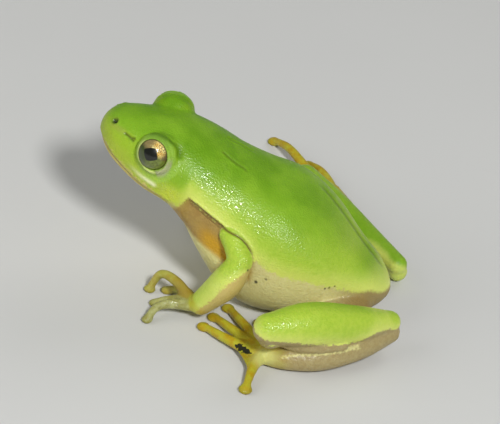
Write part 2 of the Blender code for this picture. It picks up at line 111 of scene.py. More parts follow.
# Each limb is a list of bones: (x, y, z, radius) from the inner to the outer end of each.
LEFT_BONES = {
    "upper_arm": ((5.4, 16.8, 12.0, 1.4), (7.8, 19.0, 11.8, 1.4), (10.0, 20.9, 9.9, 1.55)),
    "forearm": ((10.0, 20.9, 9.9, 1.55), (10.7, 19.7, 6.9, 2.05), (10.0, 17.0, 2.5, 1.5)),
    "thigh": ((4.0, 35.2, 3.2, 2.6), (10.0, 31.8, 2.9, 2.25), (14.0, 29.2, 4.5, 1.8),
              (17.6, 26.6, 5.4, 1.7)),
    "shank": ((18.1, 26.2, 6.6, 1.95), (14.9, 30.8, 6.3, 2.8), (10.9, 36.2, 5.1, 2.4),
              (7.2, 40.4, 4.1, 1.45)),
    "tarsus": ((7.4, 40.7, 2.7, 1.35), (11.3, 37.4, 2.3, 1.65), (14.8, 33.0, 1.85, 1.7),
               (16.1, 29.0, 1.5, 1.45), (16.0, 26.2, 1.2, 1.2)),
}
LEFT_FINGERS = (
    ((9.2, 16.0, 1.9), (7.4, 14.8, 1.9), (6.2, 13.4, 1.1), (5.8, 12.2, 0.5)),
    ((9.5, 15.8, 2.1), (7.6, 13.4, 3.2), (6.2, 11.2, 2.9), (6.3, 10.1, 0.6)),
    ((9.8, 15.7, 2.0), (9.1, 13.8, 1.5), (9.0, 12.6, 1.1), (9.1, 11.3, 0.5)),
    ((10.1, 15.8, 1.9), (10.4, 13.7, 1.8), (11.3, 11.9, 1.5), (12.9, 11.0, 0.6)),
)
LEFT_TOES = (
    ((15.2, 26.8, 1.1), (12.8, 26.2, 1.0), (10.4, 25.4, 0.8), (8.4, 24.6, 0.5)),
    ((15.4, 26.0, 1.1), (12.0, 24.0, 1.1), (9.2, 22.0, 0.9), (6.7, 20.3, 0.5)),
    ((15.7, 25.8, 1.1), (13.1, 22.9, 1.1), (11.1, 20.7, 0.9), (9.3, 18.9, 0.5)),
    ((16.0, 25.6, 1.1), (14.9, 22.6, 1.1), (13.4, 20.0, 0.9), (11.8, 18.0, 0.5)),
    ((16.4, 26.0, 1.1), (18.4, 25.4, 1.1), (20.6, 25.2, 0.9), (22.8, 25.1, 0.5)),
)
RIGHT_BONES = {
    "upper_arm": ((-5.4, 16.2, 9.0, 1.6), (-8.4, 18.6, 9.4, 1.7), (-10.8, 21.6, 8.6, 1.65)),
    "forearm": ((-10.8, 21.6, 8.6, 1.65), (-11.4, 20.6, 6.0, 2.1), (-11.6, 19.0, 2.4, 1.55)),
    "thigh": ((-4.0, 35.2, 3.5, 2.8), (-11.6, 30.8, 3.1, 2.5), (-20.0, 25.8, 3.9, 1.9)),
    "shank": ((-20.6, 25.5, 4.4, 1.9), (-16.4, 30.2, 3.5, 2.25), (-12.0, 35.4, 2.8, 1.85),
              (-8.0, 39.8, 2.7, 1.3)),
    "tarsus": ((-8.4, 40.0, 1.45, 1.3), (-12.8, 36.7, 1.6, 1.4), (-18.2, 32.8, 1.4, 1.4),
               (-23.8, 29.2, 1.2, 1.2)),
}
RIGHT_FINGERS = (
    ((-11.0, 18.0, 1.9), (-10.0, 16.8, 1.8), (-9.2, 15.8, 1.1), (-8.8, 14.9, 0.5)),
    ((-11.3, 17.8, 2.1), (-11.0, 15.6, 2.2), (-10.6, 14.0, 1.6), (-10.5, 12.9, 0.6)),
    ((-11.7, 17.8, 2.0), (-12.8, 15.8, 1.9), (-13.4, 14.2, 1.5), (-13.7, 13.1, 0.6)),
    ((-12.0, 18.0, 1.9), (-14.0, 17.0, 1.8), (-15.6, 15.9, 1.3), (-16.8, 15.2, 0.6)),
)
RIGHT_TOES = (
    ((-23.6, 28.9, 1.1), (-23.1, 26.8, 1.0), (-22.8, 25.0, 0.8), (-22.6, 23.4, 0.5)),
    ((-23.9, 28.6, 1.1), (-24.6, 26.0, 1.1), (-25.2, 23.6, 0.9), (-25.8, 21.4, 0.5)),
    ((-24.2, 28.6, 1.1), (-26.0, 25.8, 1.2), (-27.6, 23.2, 1.1), (-29.0, 20.8, 0.5)),
    ((-24.4, 28.6, 1.1), (-27.6, 25.3, 1.5), (-31.2, 22.3, 1.8), (-34.4, 19.9, 0.6)),
    ((-24.3, 29.2, 1.1), (-26.6, 28.2, 1.2), (-28.7, 26.9, 1.1), (-30.5, 25.3, 0.5)),
)
SIDES = ((1, LEFT_BONES, LEFT_FINGERS, LEFT_TOES), (-1, RIGHT_BONES, RIGHT_FINGERS, RIGHT_TOES))
FINGER_RADIUS = (0.8, 0.68, 0.58, 0.5)
TOE_RADIUS = (0.9, 0.72, 0.6, 0.5)
FINGER_WEB = (0.42, 0.42, 0.42)     # share of a digit's length that each web reaches
TOE_WEB = (0.45, 0.50, 0.52, 0.66)
WEB_NOTCH = 0.16            # how far the web's free edge is drawn in between two digits

# ------------ skin, lids and eyes (mm)
SKIN_VOXEL = 0.13           # grid of the remesh that fuses the skin
SKIN_SMOOTHING = 18         # rounds of smoothing after it
LID_SMOOTHING = 110         # rounds where the lids meet the head
SKIN_WEB = 0.42             # thickness of a web
BOX_MARGIN = 0.01           # how far the skin keeps inside the box of the solids
LIMB_REACH = 1.2            # how far from a limb the skin still belongs to it
LID_LOOK = (0.969, -0.07, 0.236)    # middle of the opening between the left lids
EYE_OPENING = 54.0          # degrees from there to the edge of the lids
LEFT_LID_LESS = (-0.15, -0.30, 0.45, 0.12)  # shift and radius taken off the left lid
CUP_GAP = 0.04              # between the eyeball and the skin behind it
GAZE = (0.92, -0.16, 0.37)          # where the left pupil points
PUPIL = (1.02, 0.93)        # half length and half height of the pupil
PUPIL_MIDDLE = (0.05, -0.05)
PUPIL_POINTS = 1.3          # 2 is an oval, 1 is a diamond
CORNEA_BULGE = 0.012        # as a share of the eyeball's radius
JAW_SLOPE = math.radians(27.0)

# ------------ where the features lie (mm)
# Points of the left side. The right side mirrors those of the mouth, nostril, eye, neck and arm.
MOUTH = ((0.0, 0.0, 18.35), (1.7, 0.4, 18.25), (2.7, 0.9, 18.1), (3.4, 1.6, 17.85),
         (4.3, 2.6, 17.15), (4.9, 3.8, 16.45), (5.7, 5.5, 15.55), (6.4, 7.4, 14.85),
         (6.8, 9.3, 14.2), (7.0, 10.6, 13.8))
MOUTH_DEPTH = 0.16
MOUTH_WIDTH = 0.15
LIP_HEIGHT = 0.07           # swelling along both sides of the mouth line
NOSTRIL = (2.15, 1.95, 20.95)
NOSTRIL_DEPTH = 0.40
NOSTRIL_RIM = 0.08          # height of the rim round it
CANTHUS = ((2.65, 1.77, 20.6), (3.0, 2.46, 20.6), (3.4, 3.2, 20.5))     # ridge to the eye
EYE_CREASE = ((3.5, 3.35, 20.5), (3.75, 3.9, 20.35), (4.0, 4.5, 20.1), (4.3, 4.95, 19.9))
EYE_CREASE_FORK = ((3.95, 4.45, 20.15), (4.1, 4.75, 20.3), (4.15, 5.0, 20.4))
LID_CREASE = ((4.65, 6.2, 21.9), (4.9, 7.5, 22.3), (4.93, 8.53, 22.25), (4.54, 9.5, 21.7),
              (4.51, 10.3, 20.95), (4.9, 10.65, 20.3), (5.58, 10.6, 19.4))
NECK_FOLD = ((1.7, 15.4, 19.9), (1.9, 16.4, 19.5), (2.2, 17.6, 18.9), (2.2, 18.7, 18.35),
             (2.6, 19.3, 18.0))
ARM_FOLD = ((7.3, 12.6, 15.6), (7.7, 14.6, 14.76), (7.9, 16.1, 13.96), (8.1, 17.7, 13.1),
            (8.5, 19.6, 12.1), (8.9, 21.3, 11.0), (9.5, 22.4, 10.0))
LIP_STREAK = ((4.9, 4.3, 17.4), (5.5, 5.2, 17.05), (6.05, 6.5, 16.5), (6.5, 7.9, 16.1),
              (6.65, 8.4, 15.95))
STREAK_HEIGHT = 0.05
# Of each groove the field that it feeds, its route and the steps along it, depth and width, the
# height of the swelling beside it, its strength on the right side and the strength of the painted
# shade in it.
GROOVES = (
    ("crease_line_shade", EYE_CREASE, 12, 0.13, 0.17, 0.04, 1.0, 1.0),
    ("crease_line_shade", EYE_CREASE_FORK, 12, 0.13, 0.17, 0.04, 1.0, 1.0),
    ("lid_crease_shade", LID_CREASE, 40, 0.20, 0.42, 0.03, 0.16, 1.0),
    ("crease_line_shade", NECK_FOLD, 24, 0.12, 0.20, 0.05, 0.4, 0.45),
    ("arm_fold_shade", ARM_FOLD, 40, 0.14, 0.16, 0.08, 1.0, 1.0),
)
# Route of the fold above the right thigh, darkened by painted shade.
HIP_FOLD = ((-3.5, 27.8, 15.1), (-3.0, 29.3, 14.3), (-2.4, 30.9, 13.2), (-2.1, 32.4, 11.9),
            (-1.8, 34.0, 10.3), (-1.3, 35.6, 8.9), (-0.7, 37.2, 7.6), (-0.8, 38.5, 6.2))
# Flesh pressed out between the left shank and tarsus: (x, y, z, radius).
LEG_FILL = ((16.5, 28.4, 3.7, 0.5), (16.3, 30.5, 3.85, 0.8), (15.5, 33.0, 3.9, 0.8),
            (14.1, 35.6, 3.9, 0.6))
# Route of the painted shadow on the left web.
WEB_SHADOW = ((15.45, 22.5, 1.3), (15.8, 23.0, 1.4), (16.3, 23.9, 1.4), (16.6, 24.6, 1.4))
TARSUS_RIDGE = ((17.25, 28.6, 2.35), (16.7, 30.6, 2.85), (16.0, 32.3, 3.1), (15.25, 34.0, 3.2),
                (14.1, 35.8, 3.3), (12.95, 37.3, 3.4))
# How upright the skin stands along the right ridge, at shares of its length.
RIDGE_SLOPE = ((0.3, 0.58), (0.45, 0.74), (0.6, 0.85), (0.76, 0.80), (0.86, 0.64), (1.0, 0.6))
WET_PATCHES = (             # where wet granules glitter: place and reach
    ((6.2, 14.6, 18.0), 1.1), ((6.2, 16.1, 17.4), 1.3), ((6.3, 17.7, 16.6), 1.2),
    ((6.9, 19.3, 15.7), 0.9), ((7.4, 20.8, 14.9), 0.8), ((8.1, 22.3, 13.8), 0.8),
    ((3.8, 16.3, 18.9), 0.7), ((6.8, 9.6, 16.3), 0.9), ((7.1, 10.9, 15.6), 0.9),
    ((11.3, 21.1, 10.5), 1.0), ((12.1, 20.1, 8.9), 1.0), ((12.5, 19.1, 7.2), 0.8),
    ((19.6, 26.0, 7.6), 1.0), ((18.0, 27.6, 8.5), 1.0), ((10.8, 13.6, 2.3), 1.3),
)
DARK_SPOTS = (              # small black specks on the left side: place and size
    ((11.0, 22.0, 9.6), 0.16), ((9.2, 23.2, 6.9), 0.20), ((9.33, 24.35, 7.7), 0.15),
    ((8.1, 17.7, 13.1), 0.20), ((7.5, 31.7, 7.0), 0.12), ((7.2, 32.2, 7.1), 0.14),
    ((6.8, 32.8, 7.25), 0.10),
)
FOOT_PALE = (17.6, 26.5, 1.7)       # middle of the pale cream on the inner end of the outer toe
RIGHT_SHADED_LIME = 0.35           # how much of the limbs' lime the right side has; the rest is painted shade on the far limbs
# Of each limb stretch the way its green side faces, and over which steepness the green
# lies at given shares of its length.
LIMB_GREEN = (
    ("upper_arm", (0.6, -0.3, 0.75), ((0.0, -0.35), (1.0, -0.35))),
    ("forearm", (0.45, -0.8, 0.4), ((0.0, -0.45), (0.15, 0.12), (0.3, 0.50), (1.0, 0.45))),
    ("thigh", (0.25, 0.0, 0.95), ((0.0, 1.4), (0.35, 1.1), (0.6, 0.0), (1.0, -0.1))),
    ("shank", (0.35, 0.2, 0.9), ((0.0, 0.13), (0.25, -0.05), (0.58, -0.17), (0.68, 0.03),
                                 (0.8, 0.44), (0.93, 0.46), (1.0, 0.22))),
    ("tarsus", (0.25, 0.1, 0.95), ((0.0, 1.4), (1.0, 1.4))),
    ("finger", (0.0, 0.0, 1.0), ((0.0, 0.1), (1.0, 0.1))),
    ("toe", (0.0, 0.0, 1.0), ((0.0, 0.1), (1.0, 0.1))),
)
THROAT_TUCK = 0.45          # how far the throat lies in from the edge of the green
EDGE_SLANT = 0.85           # turns a height over that edge into a distance from it
# Distance behind the snout and height of the lower edge of the green.
GREEN_EDGE = ((0.0, 18.6), (1.6, 18.3), (2.6, 17.7), (3.8, 17.0), (5.5, 16.2), (7.4, 15.5),
              (9.4, 14.7), (10.6, 14.2), (11.7, 14.0), (12.4, 14.9), (12.9, 15.6),
              (14.6, 14.76), (16.1, 13.96), (17.7, 13.1), (19.6, 12.1), (21.3, 11.0),
              (22.4, 10.0), (24.1, 9.0), (26.0, 8.5), (28.0, 8.2), (30.5, 7.6), (33.0, 6.9),
              (35.6, 6.0), (37.2, 5.9), (38.7, 5.0), (40.0, 4.5))

# ------------ paints
# Field, strength and colour of each paint, in the order in which they lie over each other.
PAINTS = (
    ("lid", 0.48, (0.34, 0.56, 0.08)),
    ("canthus", 0.50, (0.33, 0.36, 0.06)),
    ("front_rim", 0.90, (0.62, 0.70, 0.22)),
    ("rear_rim", 0.90, (0.41, 0.42, 0.24)),
    ("jaw", 0.85, (0.50, 0.58, 0.03)),
    ("streak", 0.90, (0.82, 0.84, 0.50)),
    # Painted shade in the lid crease, along the fold above the right thigh, in the creases by the
    # eye and neck and in the arm fold.
    ("lid_crease_shade", 0.85, (0.10, 0.22, 0.004)),
    ("hip", 0.55, (0.06, 0.13, 0.002)),
    ("crease_line_shade", 0.85, (0.09, 0.10, 0.006)),
    ("arm_fold_shade", 0.85, (0.12, 0.06, 0.015)),
    ("mouth", 0.55, (0.28, 0.16, 0.05)),
)

# ------------ stage
FLOOR_SIZE = 4.0            # metres
LIT_POINT = (0.0, 0.0, 0.008)
# Name, place, diameter, power, and whether it glitters on the skin, in metres and watts.
LIGHTS = (
    ("key", (0.42, 0.16, 0.44), 0.10, 2.9, True),
    ("fill", (0.22, -0.50, 0.30), 0.50, 1.2, False),
    ("behind", (-0.45, 0.25, 0.40), 0.40, 0.8, False),
)
# The camera looks from the left and above, rolled so that the body slopes down to the tail.
CAMERA_AIM = (-0.839, -5.705, 10.266)       # millimetres from the origin
CAMERA_DISTANCE = 450.0                     # millimetres from there
CAMERA_LENS = 257.6
CAMERA_ANGLES = (93.0, 33.0, 11.0)          # round from the front, up from the floor, and roll


# ------------ small helpers
def to_world(point):
    """Millimetres behind the snout to metres from the origin."""
    return Vector((point[0], point[1] - SNOUT_TO_ORIGIN, point[2])) * MM


def mirrored(vector, side):
    """A vector of the left side, or its mirror image when side is -1."""
    return (side * vector[0], *vector[1:])


def rise(low, high, x):
    """Smooth passage from 0 to 1 as x goes from low to high, which may be the smaller one."""
    t = np.clip((x - low) / (high - low), 0.0, 1.0)
    return t * t * (3 - 2 * t)


def unit(vectors):
    """One vector or rows of vectors, brought to length 1."""
    vectors = np.asarray(vectors, float)
    return vectors / (np.linalg.norm(vectors, axis=-1, keepdims=True) + 1e-12)


def smooth_value(rows, column, y):
    """One column of a table at distance y, on a smooth curve through the rows."""
    ys = np.array([row[0] for row in rows])
    values = np.array([row[column] for row in rows])
    slopes = np.gradient(values, ys)
    i = int(np.clip(np.searchsorted(ys, y) - 1, 0, len(ys) - 2))
    width = ys[i + 1] - ys[i]
    t = (y - ys[i]) / width
    return ((2 * t**3 - 3 * t**2 + 1) * values[i] + (t**3 - 2 * t**2 + t) * width * slopes[i]
            + (3 * t**2 - 2 * t**3) * values[i + 1] + (t**3 - t**2) * width * slopes[i + 1])


def smooth_route(points, steps):
    """Points on a smooth curve through the given ones, evenly spread between them."""
    rows = [(i, *point) for i, point in enumerate(points)]
    columns = range(1, len(rows[0]))
    last = len(points) - 1
    return [tuple(float(smooth_value(rows, c, last * k / steps)) for c in columns)
            for k in range(steps + 1)]


def link(name, data):
    """A new object of the scene."""
    obj = bpy.data.objects.new(name, data)
    bpy.context.scene.collection.objects.link(obj)
    return obj


def add_object(name, bm):
    """A new mesh object from a bmesh, which it uses up."""
    mesh = bpy.data.meshes.new(name)
    bm.to_mesh(mesh)
    bm.free()
    return link(name, mesh)


def lid_centre(side):
    """Middle of the ball of skin round an eye; side is 1 on the left and -1 on the right."""
    return LID_CENTRE if side > 0 else RIGHT_LID_CENTRE


def eye_centre(side):
    return Vector(lid_centre(side)) + Vector(mirrored(EYE_LOOK, side)).normalized() * EYE_FORWARD


# ------------ pieces of the body
def end_rounding(y):
    """Shrinks the sections to a round end at the snout and at the rump."""
    inside = 1.0
    for distance, length in ((y, SNOUT_ROUNDING), (BODY_LENGTH - y, RUMP_ROUNDING)):
        if distance < length:
            inside *= math.sqrt(max(0.0, 1 - (1 - distance / length) ** 2))
    return inside


def body_section(y):
    """One section across the body: a superellipse with unlike upper and lower halves."""
    side, top, bottom, half_width, upper, lower = (
        smooth_value(BODY_STATIONS, c, y) for c in range(1, 7))
    inside = end_rounding(y)
    ring = []
    for k in range(SECTION_POINTS):
        angle = 2 * math.pi * k / SECTION_POINTS
        across, along = math.cos(angle), math.sin(angle)
        power = 2 / (upper if along > 0 else lower)
        height = (top - side) if along > 0 else (side - bottom)
        ring.append((inside * half_width * math.copysign(abs(across) ** power, across), y,
                     side + inside * height * math.copysign(abs(along) ** power, along)))
    return ring


def join_rings(bm, rings):
    """Skins a row of rings of points and closes it at both ends."""
    rings = [[bm.verts.new(to_world(point)) for point in ring] for ring in rings]
    for ring, following in zip(rings, rings[1:]):
        for k, after in enumerate([*range(1, len(ring)), 0]):
            bm.faces.new((ring[k], ring[after], following[after], following[k]))
    bm.faces.new(reversed(rings[0]))
    bm.faces.new(rings[-1])


def add_body(bm):
    """Head and trunk: sections from snout to rump, closer to each other at both ends."""
    count = round(BODY_LENGTH / SECTION_STEP)
    join_rings(bm, [body_section(BODY_LENGTH * (1 - math.cos(math.pi * k / count)) / 2)
                    for k in range(1, count)])


def ball_template():
    """A unit sphere that add_ball copies."""
    bm = bmesh.new()
    bmesh.ops.create_uvsphere(bm, u_segments=32, v_segments=20, radius=1.0)
    mesh = bpy.data.meshes.new("ball")
    bm.to_mesh(mesh)
    bm.free()
    return mesh


def add_ball(bm, centre, radii, turn=Matrix.Identity(3)):
    """An ellipsoid of the given half sizes, turned by a 3 x 3 rotation."""
    template = bpy.data.meshes.get("ball") or ball_template()
    scale = Matrix.Diagonal((*[r * MM for r in radii], 1.0))
    ball = template.copy()
    ball.transform(Matrix.Translation(to_world(centre)) @ turn.to_4x4() @ scale)
    bm.from_mesh(ball)
    bpy.data.meshes.remove(ball)


def add_tube(bm, rows):
    """A round tube along a smooth route of (x, y, z, radius) rows, with ball ends."""
    route = smooth_route(rows, 8 * (len(rows) - 1))
    places = [Vector(row[:3]) for row in route]
    rings = []
    across = Vector((0.0, 0.0, 1.0))
    for i, (place, row) in enumerate(zip(places, route)):
        along = (places[min(i + 1, len(places) - 1)] - places[max(i - 1, 0)]).normalized()
        across = (across - across.project(along)).normalized()
        aside = along.cross(across)
        angles = [2 * math.pi * k / TUBE_POINTS for k in range(TUBE_POINTS)]
        rings.append([place + row[3] * (across * math.cos(a) + aside * math.sin(a))
                      for a in angles])
    join_rings(bm, rings)
    for x, y, z, radius in (rows[0], rows[-1]):
        add_ball(bm, (x, y, z), (radius,) * 3)


def add_disc(bm, rows, size):
    """The flat disc at the tip of a finger or toe, turned along its last stretch."""
    (x, y, *_), (tip_x, tip_y, *_) = rows[-2:]
    turn = Matrix.Rotation(math.atan2(x - tip_x, tip_y - y), 3, "Z")
    add_ball(bm, (tip_x, tip_y, size[2] / 2 - DISC_SINK), [side / 2 for side in size], turn)


def add_web(bm, first, second, reach):
    """The web between two digits: a thin sheet whose free edge is drawn in."""
    across, along, steps = 8, 8, 60
    routes = [smooth_route(digit, steps) for digit in (first, second)]
    lengths = [(Vector(digit[-1]) - Vector(digit[0])).length for digit in (first, second)]
    shares = [reach * min(lengths) / length for length in lengths]
    top, under = [], []
    for i in range(across + 1):
        v = i / across
        inward = 1 - WEB_NOTCH * 4 * v * (1 - v)
        top.append([])
        under.append([])
        for j in range(along + 1):
            a, b = (Vector(route[round(steps * share * inward * j / along)])
                    for route, share in zip(routes, shares))
            for grid, lift in ((top, SKIN_WEB / 2), (under, -SKIN_WEB / 2)):
                grid[i].append(bm.verts.new(to_world(a.lerp(b, v) + Vector((0, 0, lift)))))
    edge = ([(0, j) for j in range(along)] + [(i, along) for i in range(across)]
            + [(across, j) for j in range(along, 0, -1)] + [(i, 0) for i in range(across, 0, -1)])
    for i, j in itertools.product(range(across), range(along)):
        bm.faces.new((top[i][j], top[i + 1][j], top[i + 1][j + 1], top[i][j + 1]))
        bm.faces.new((under[i][j], under[i][j + 1], under[i + 1][j + 1], under[i + 1][j]))
    for (i, j), (m, n) in zip(edge, edge[1:] + edge[:1]):
        bm.faces.new((top[i][j], top[m][n], under[m][n], under[i][j]))


def body_parts():
    """Every stretch of the limbs: name, side, number of the digit, and (x, y, z, radius) rows."""
    rows = []
    for side, bones, fingers, toes in SIDES:
        rows += [(name, side, 0, bone) for name, bone in bones.items()]
        for name, digits, radii in (("finger", fingers, FINGER_RADIUS), ("toe", toes, TOE_RADIUS)):
            for number, digit in enumerate(digits, 1):
                rows.append((name, side, number, [(*p, r) for p, r in zip(digit, radii)]))
    return rows


def fused_skin():
    """The mesh of the whole animal as one closed surface, before it is shaped further."""
    bm = bmesh.new()
    add_body(bm)
    add_ball(bm, Vector(LID_CENTRE) - Vector(LEFT_LID_LESS[:3]),
             (LID_RADIUS - LEFT_LID_LESS[3],) * 3)
    add_ball(bm, RIGHT_LID_CENTRE, (LID_RADIUS,) * 3)
    for name, _, number, rows in body_parts():
        add_tube(bm, rows)
        if number:
            add_disc(bm, rows, FINGER_DISC if name == "finger" else TOE_DISC)
    for _, _, fingers, toes in SIDES:
        for digits, reaches in ((fingers, FINGER_WEB), (toes, TOE_WEB)):
            for first, second, reach in zip(digits, digits[1:], reaches):
                add_web(bm, first, second, reach)
    add_tube(bm, LEG_FILL)
    pieces = add_object("pieces", bm)
    remesh = pieces.modifiers.new("fuse", "REMESH")
    remesh.mode = "VOXEL"
    remesh.voxel_size = SKIN_VOXEL * MM
    graph = bpy.context.evaluated_depsgraph_get()
    graph.update()
    mesh = bpy.data.meshes.new_from_object(pieces.evaluated_get(graph))
    bpy.data.objects.remove(pieces, do_unlink=True)
    return mesh


# ------------ the skin as arrays
class Surface:
    """The skin's points in millimetres behind the snout, with what is needed to shape them."""

    def __init__(self, mesh):
        self.mesh = mesh
        count = len(mesh.vertices)
        flat = np.empty(count * 3)
        mesh.vertices.foreach_get("co", flat)
        self.points = flat.reshape(-1, 3) / MM + (0.0, SNOUT_TO_ORIGIN, 0.0)
        ends = np.empty(len(mesh.edges) * 2, np.int64)
        mesh.edges.foreach_get("vertices", ends)
        self.ends = ends.reshape(-1, 2)
        self.degree = np.bincount(self.ends.ravel(), minlength=count)[:, None]
        corners = np.empty(len(mesh.polygons) * 4, np.int64)
        mesh.polygons.foreach_get("vertices", corners)
        self.quads = corners.reshape(-1, 4)

    def averaged(self, values):
        """The mean of the neighbours of each point."""
        columns = values.reshape(len(values), -1)
        a, b = self.ends.T
        total = np.stack([
            np.bincount(a, column[b], len(values)) + np.bincount(b, column[a], len(values))
            for column in columns.T], 1)
        return (total / self.degree).reshape(values.shape)

    def smoothed(self, values, times):
        for _ in range(times):
            values = (values + self.averaged(values)) / 2
        return values

    def eased(self, centre, near, far, times):
        """Smooths the surface inside a shell round a place, fully at the middle of it."""
        reach = self.distance(centre)
        inside = (reach > near) & (reach < far)
        ends = self.ends[inside[self.ends].all(1)]
        count = len(self.points)
        degree = np.bincount(ends.ravel(), minlength=count)
        whole = np.where(degree > 3)[0]
        share = (rise(near, near + 0.3, reach) * rise(far, far - 0.6, reach))[whole]
        a, b = ends.T
        for _ in range(times):
            for c in range(3):
                column = self.points[:, c]
                total = np.bincount(a, column[b], count) + np.bincount(b, column[a], count)
                mean = total[whole] / degree[whole]
                self.points[whole, c] += 0.6 * share * (mean - column[whole])

    def normals(self):
        p = self.points
        q = self.quads
        across = np.cross(p[q[:, 2]] - p[q[:, 0]], p[q[:, 3]] - p[q[:, 1]])
        total = np.stack([sum(np.bincount(q[:, k], across[:, c], len(p)) for k in range(4))
                          for c in range(3)], 1)
        return total / (np.linalg.norm(total, axis=1)[:, None] + 1e-12)

    def distance(self, place):
        return np.linalg.norm(self.points - place, axis=1)

    def lift(self, normals, heights):
        self.points += normals * heights[:, None]

    def store(self):
        flat = ((self.points - (0.0, SNOUT_TO_ORIGIN, 0.0)) * MM).ravel()
        self.mesh.vertices.foreach_set("co", flat)
        self.mesh.update()

    def keep(self, name, values):
        layer = self.mesh.attributes.new(name, "FLOAT", "POINT")
        layer.data.foreach_set("value", np.asarray(values, np.float32))


def route_distance(points, route, widest):
    """Distance of each point to a polyline, up to widest, and the share along it."""
    route = np.asarray(route, float)
    best = np.full(len(points), float(widest))
    share = np.zeros(len(points))
    low, high = route.min(0) - widest, route.max(0) + widest
    near = np.where(((points > low) & (points < high)).all(1))[0]
    p = points[near]
    lengths = np.linalg.norm(np.diff(route, axis=0), axis=1)
    starts = np.concatenate(([0.0], np.cumsum(lengths)))
    b = np.full(len(near), float(widest))
    s = np.zeros(len(near))
    for i, (first, second) in enumerate(zip(route, route[1:])):
        step = second - first
        t = np.clip((p - first) @ step / (step @ step), 0, 1)
        d = np.linalg.norm(p - first - t[:, None] * step, axis=1)
        closer = d < b
        b[closer] = d[closer]
        s[closer] = (starts[i] + t[closer] * lengths[i]) / starts[-1]
    best[near] = b
    share[near] = s
    return best, share


def laid_on(tree, points, steps, side=1):
    """A smooth route through the given points, or their mirror images, brought onto the skin."""
    route = smooth_route([mirrored(point, side) for point in points], steps)
    return np.array([tuple(tree.find_nearest(Vector(place))[0]) for place in route])


def hump(distance, width, middle=0.0):
    """1 at the middle distance, falling off smoothly over the width on both sides."""
    return np.exp(-((distance - middle) / width) ** 2)


# ------------ shaping the skin
def press(surface, normals, places, depth, width, swelling):
    """A groove along a route on the skin, with a low swelling on both of its sides."""
    d, share = route_distance(surface.points, places, 4 * width)
    fade = rise(0.0, 0.12, share) * rise(1.0, 0.88, share)
    groove = hump(d, width)
    beside = hump(d, width, 2.2 * width)
    surface.lift(normals, fade * (swelling * beside - depth * groove))
    return fade * groove


def press_features(surface, tree):
    """Shapes lips, folds and nostrils, and says how strong each of them is at each point."""
    fields = {name: np.zeros(len(surface.points)) for name in (
        "mouth", "crease_line_shade", "lid_crease_shade", "arm_fold_shade", "canthus", "streak", "nostril_shade")}

    def add(name, values):
        fields[name] = np.maximum(fields[name], values)

    def distance(route, steps, side):
        return route_distance(surface.points, laid_on(tree, route, steps, side), 3.0)

    for side in (1, -1):
        normals = surface.normals()
        d, share = distance(MOUTH, 60, side)
        closed = rise(1.0, 0.93, share)
        groove = hump(d, MOUTH_WIDTH) * closed
        lips = hump(d, 0.26, 0.42) * closed
        surface.lift(normals, LIP_HEIGHT * lips - MOUTH_DEPTH * groove)
        add("mouth", groove)
        for name, route, steps, depth, width, swelling, right_share, paint in GROOVES:
            strength = 1.0 if side > 0 else right_share
            places = laid_on(tree, route, steps, side)
            groove = press(surface, normals, places, depth * strength, width, swelling)
            add(name, paint * strength * groove)
        d, _ = distance(CANTHUS, 10, side)
        add("canthus", hump(d, 0.40))
        d, share = distance(LIP_STREAK, 16, side)
        add("streak", hump(d, 0.27) * rise(0.0, 0.9, share))
        surface.lift(normals, STREAK_HEIGHT * hump(d, 0.35))
        d = surface.distance(tree.find_nearest(Vector(mirrored(NOSTRIL, side)))[0])
        surface.lift(normals, NOSTRIL_RIM * hump(d, 0.22, 0.5) - NOSTRIL_DEPTH * hump(d, 0.28))
        # The nostril's pit, darkened by painted shade.
        add("nostril_shade", np.exp(-(d / 0.47) ** 4))
    # The fold above the right thigh, darkened by painted shade.
    fields["hip"] = press(surface, surface.normals(), laid_on(tree, HIP_FOLD, 40), 0.12, 0.45, 0.02)
    return fields


def above_edge(points):
    """How far each point lies above the lower edge of the green on head and trunk."""
    return (points[:, 2] - np.interp(points[:, 1], *np.array(GREEN_EDGE).T)) * EDGE_SLANT


def tuck_throat(surface, trunk):
    """Draws the skin in just below the green's edge, from the corner of the jaw to the arm."""
    y = surface.points[:, 1]
    above = above_edge(surface.points)
    tucked = (rise(0.1, -0.35, above) * rise(-5.0, -2.0, above) * trunk
              * rise(12.3, 13.2, y) * rise(22.6, 21.4, y))
    surface.lift(surface.normals(), -THROAT_TUCK * surface.smoothed(tucked, 2))


def lid_angles(out, side):
    """Angle of directions from the middle of the lids' opening, their turn, the edge there."""
    look = unit(mirrored(LID_LOOK, side))
    angle = np.degrees(np.arccos(np.clip(out @ look, -1, 1)))
    steep = np.array([0.0, -0.35, 1.0])
    upward = unit(steep - look * (look @ steep))
    forward = np.cross(look, upward) * side
    turn = np.degrees(np.arctan2(out @ forward, out @ upward))
    return angle, turn, EYE_OPENING + 3.5 * np.cos(np.radians(2 * turn))


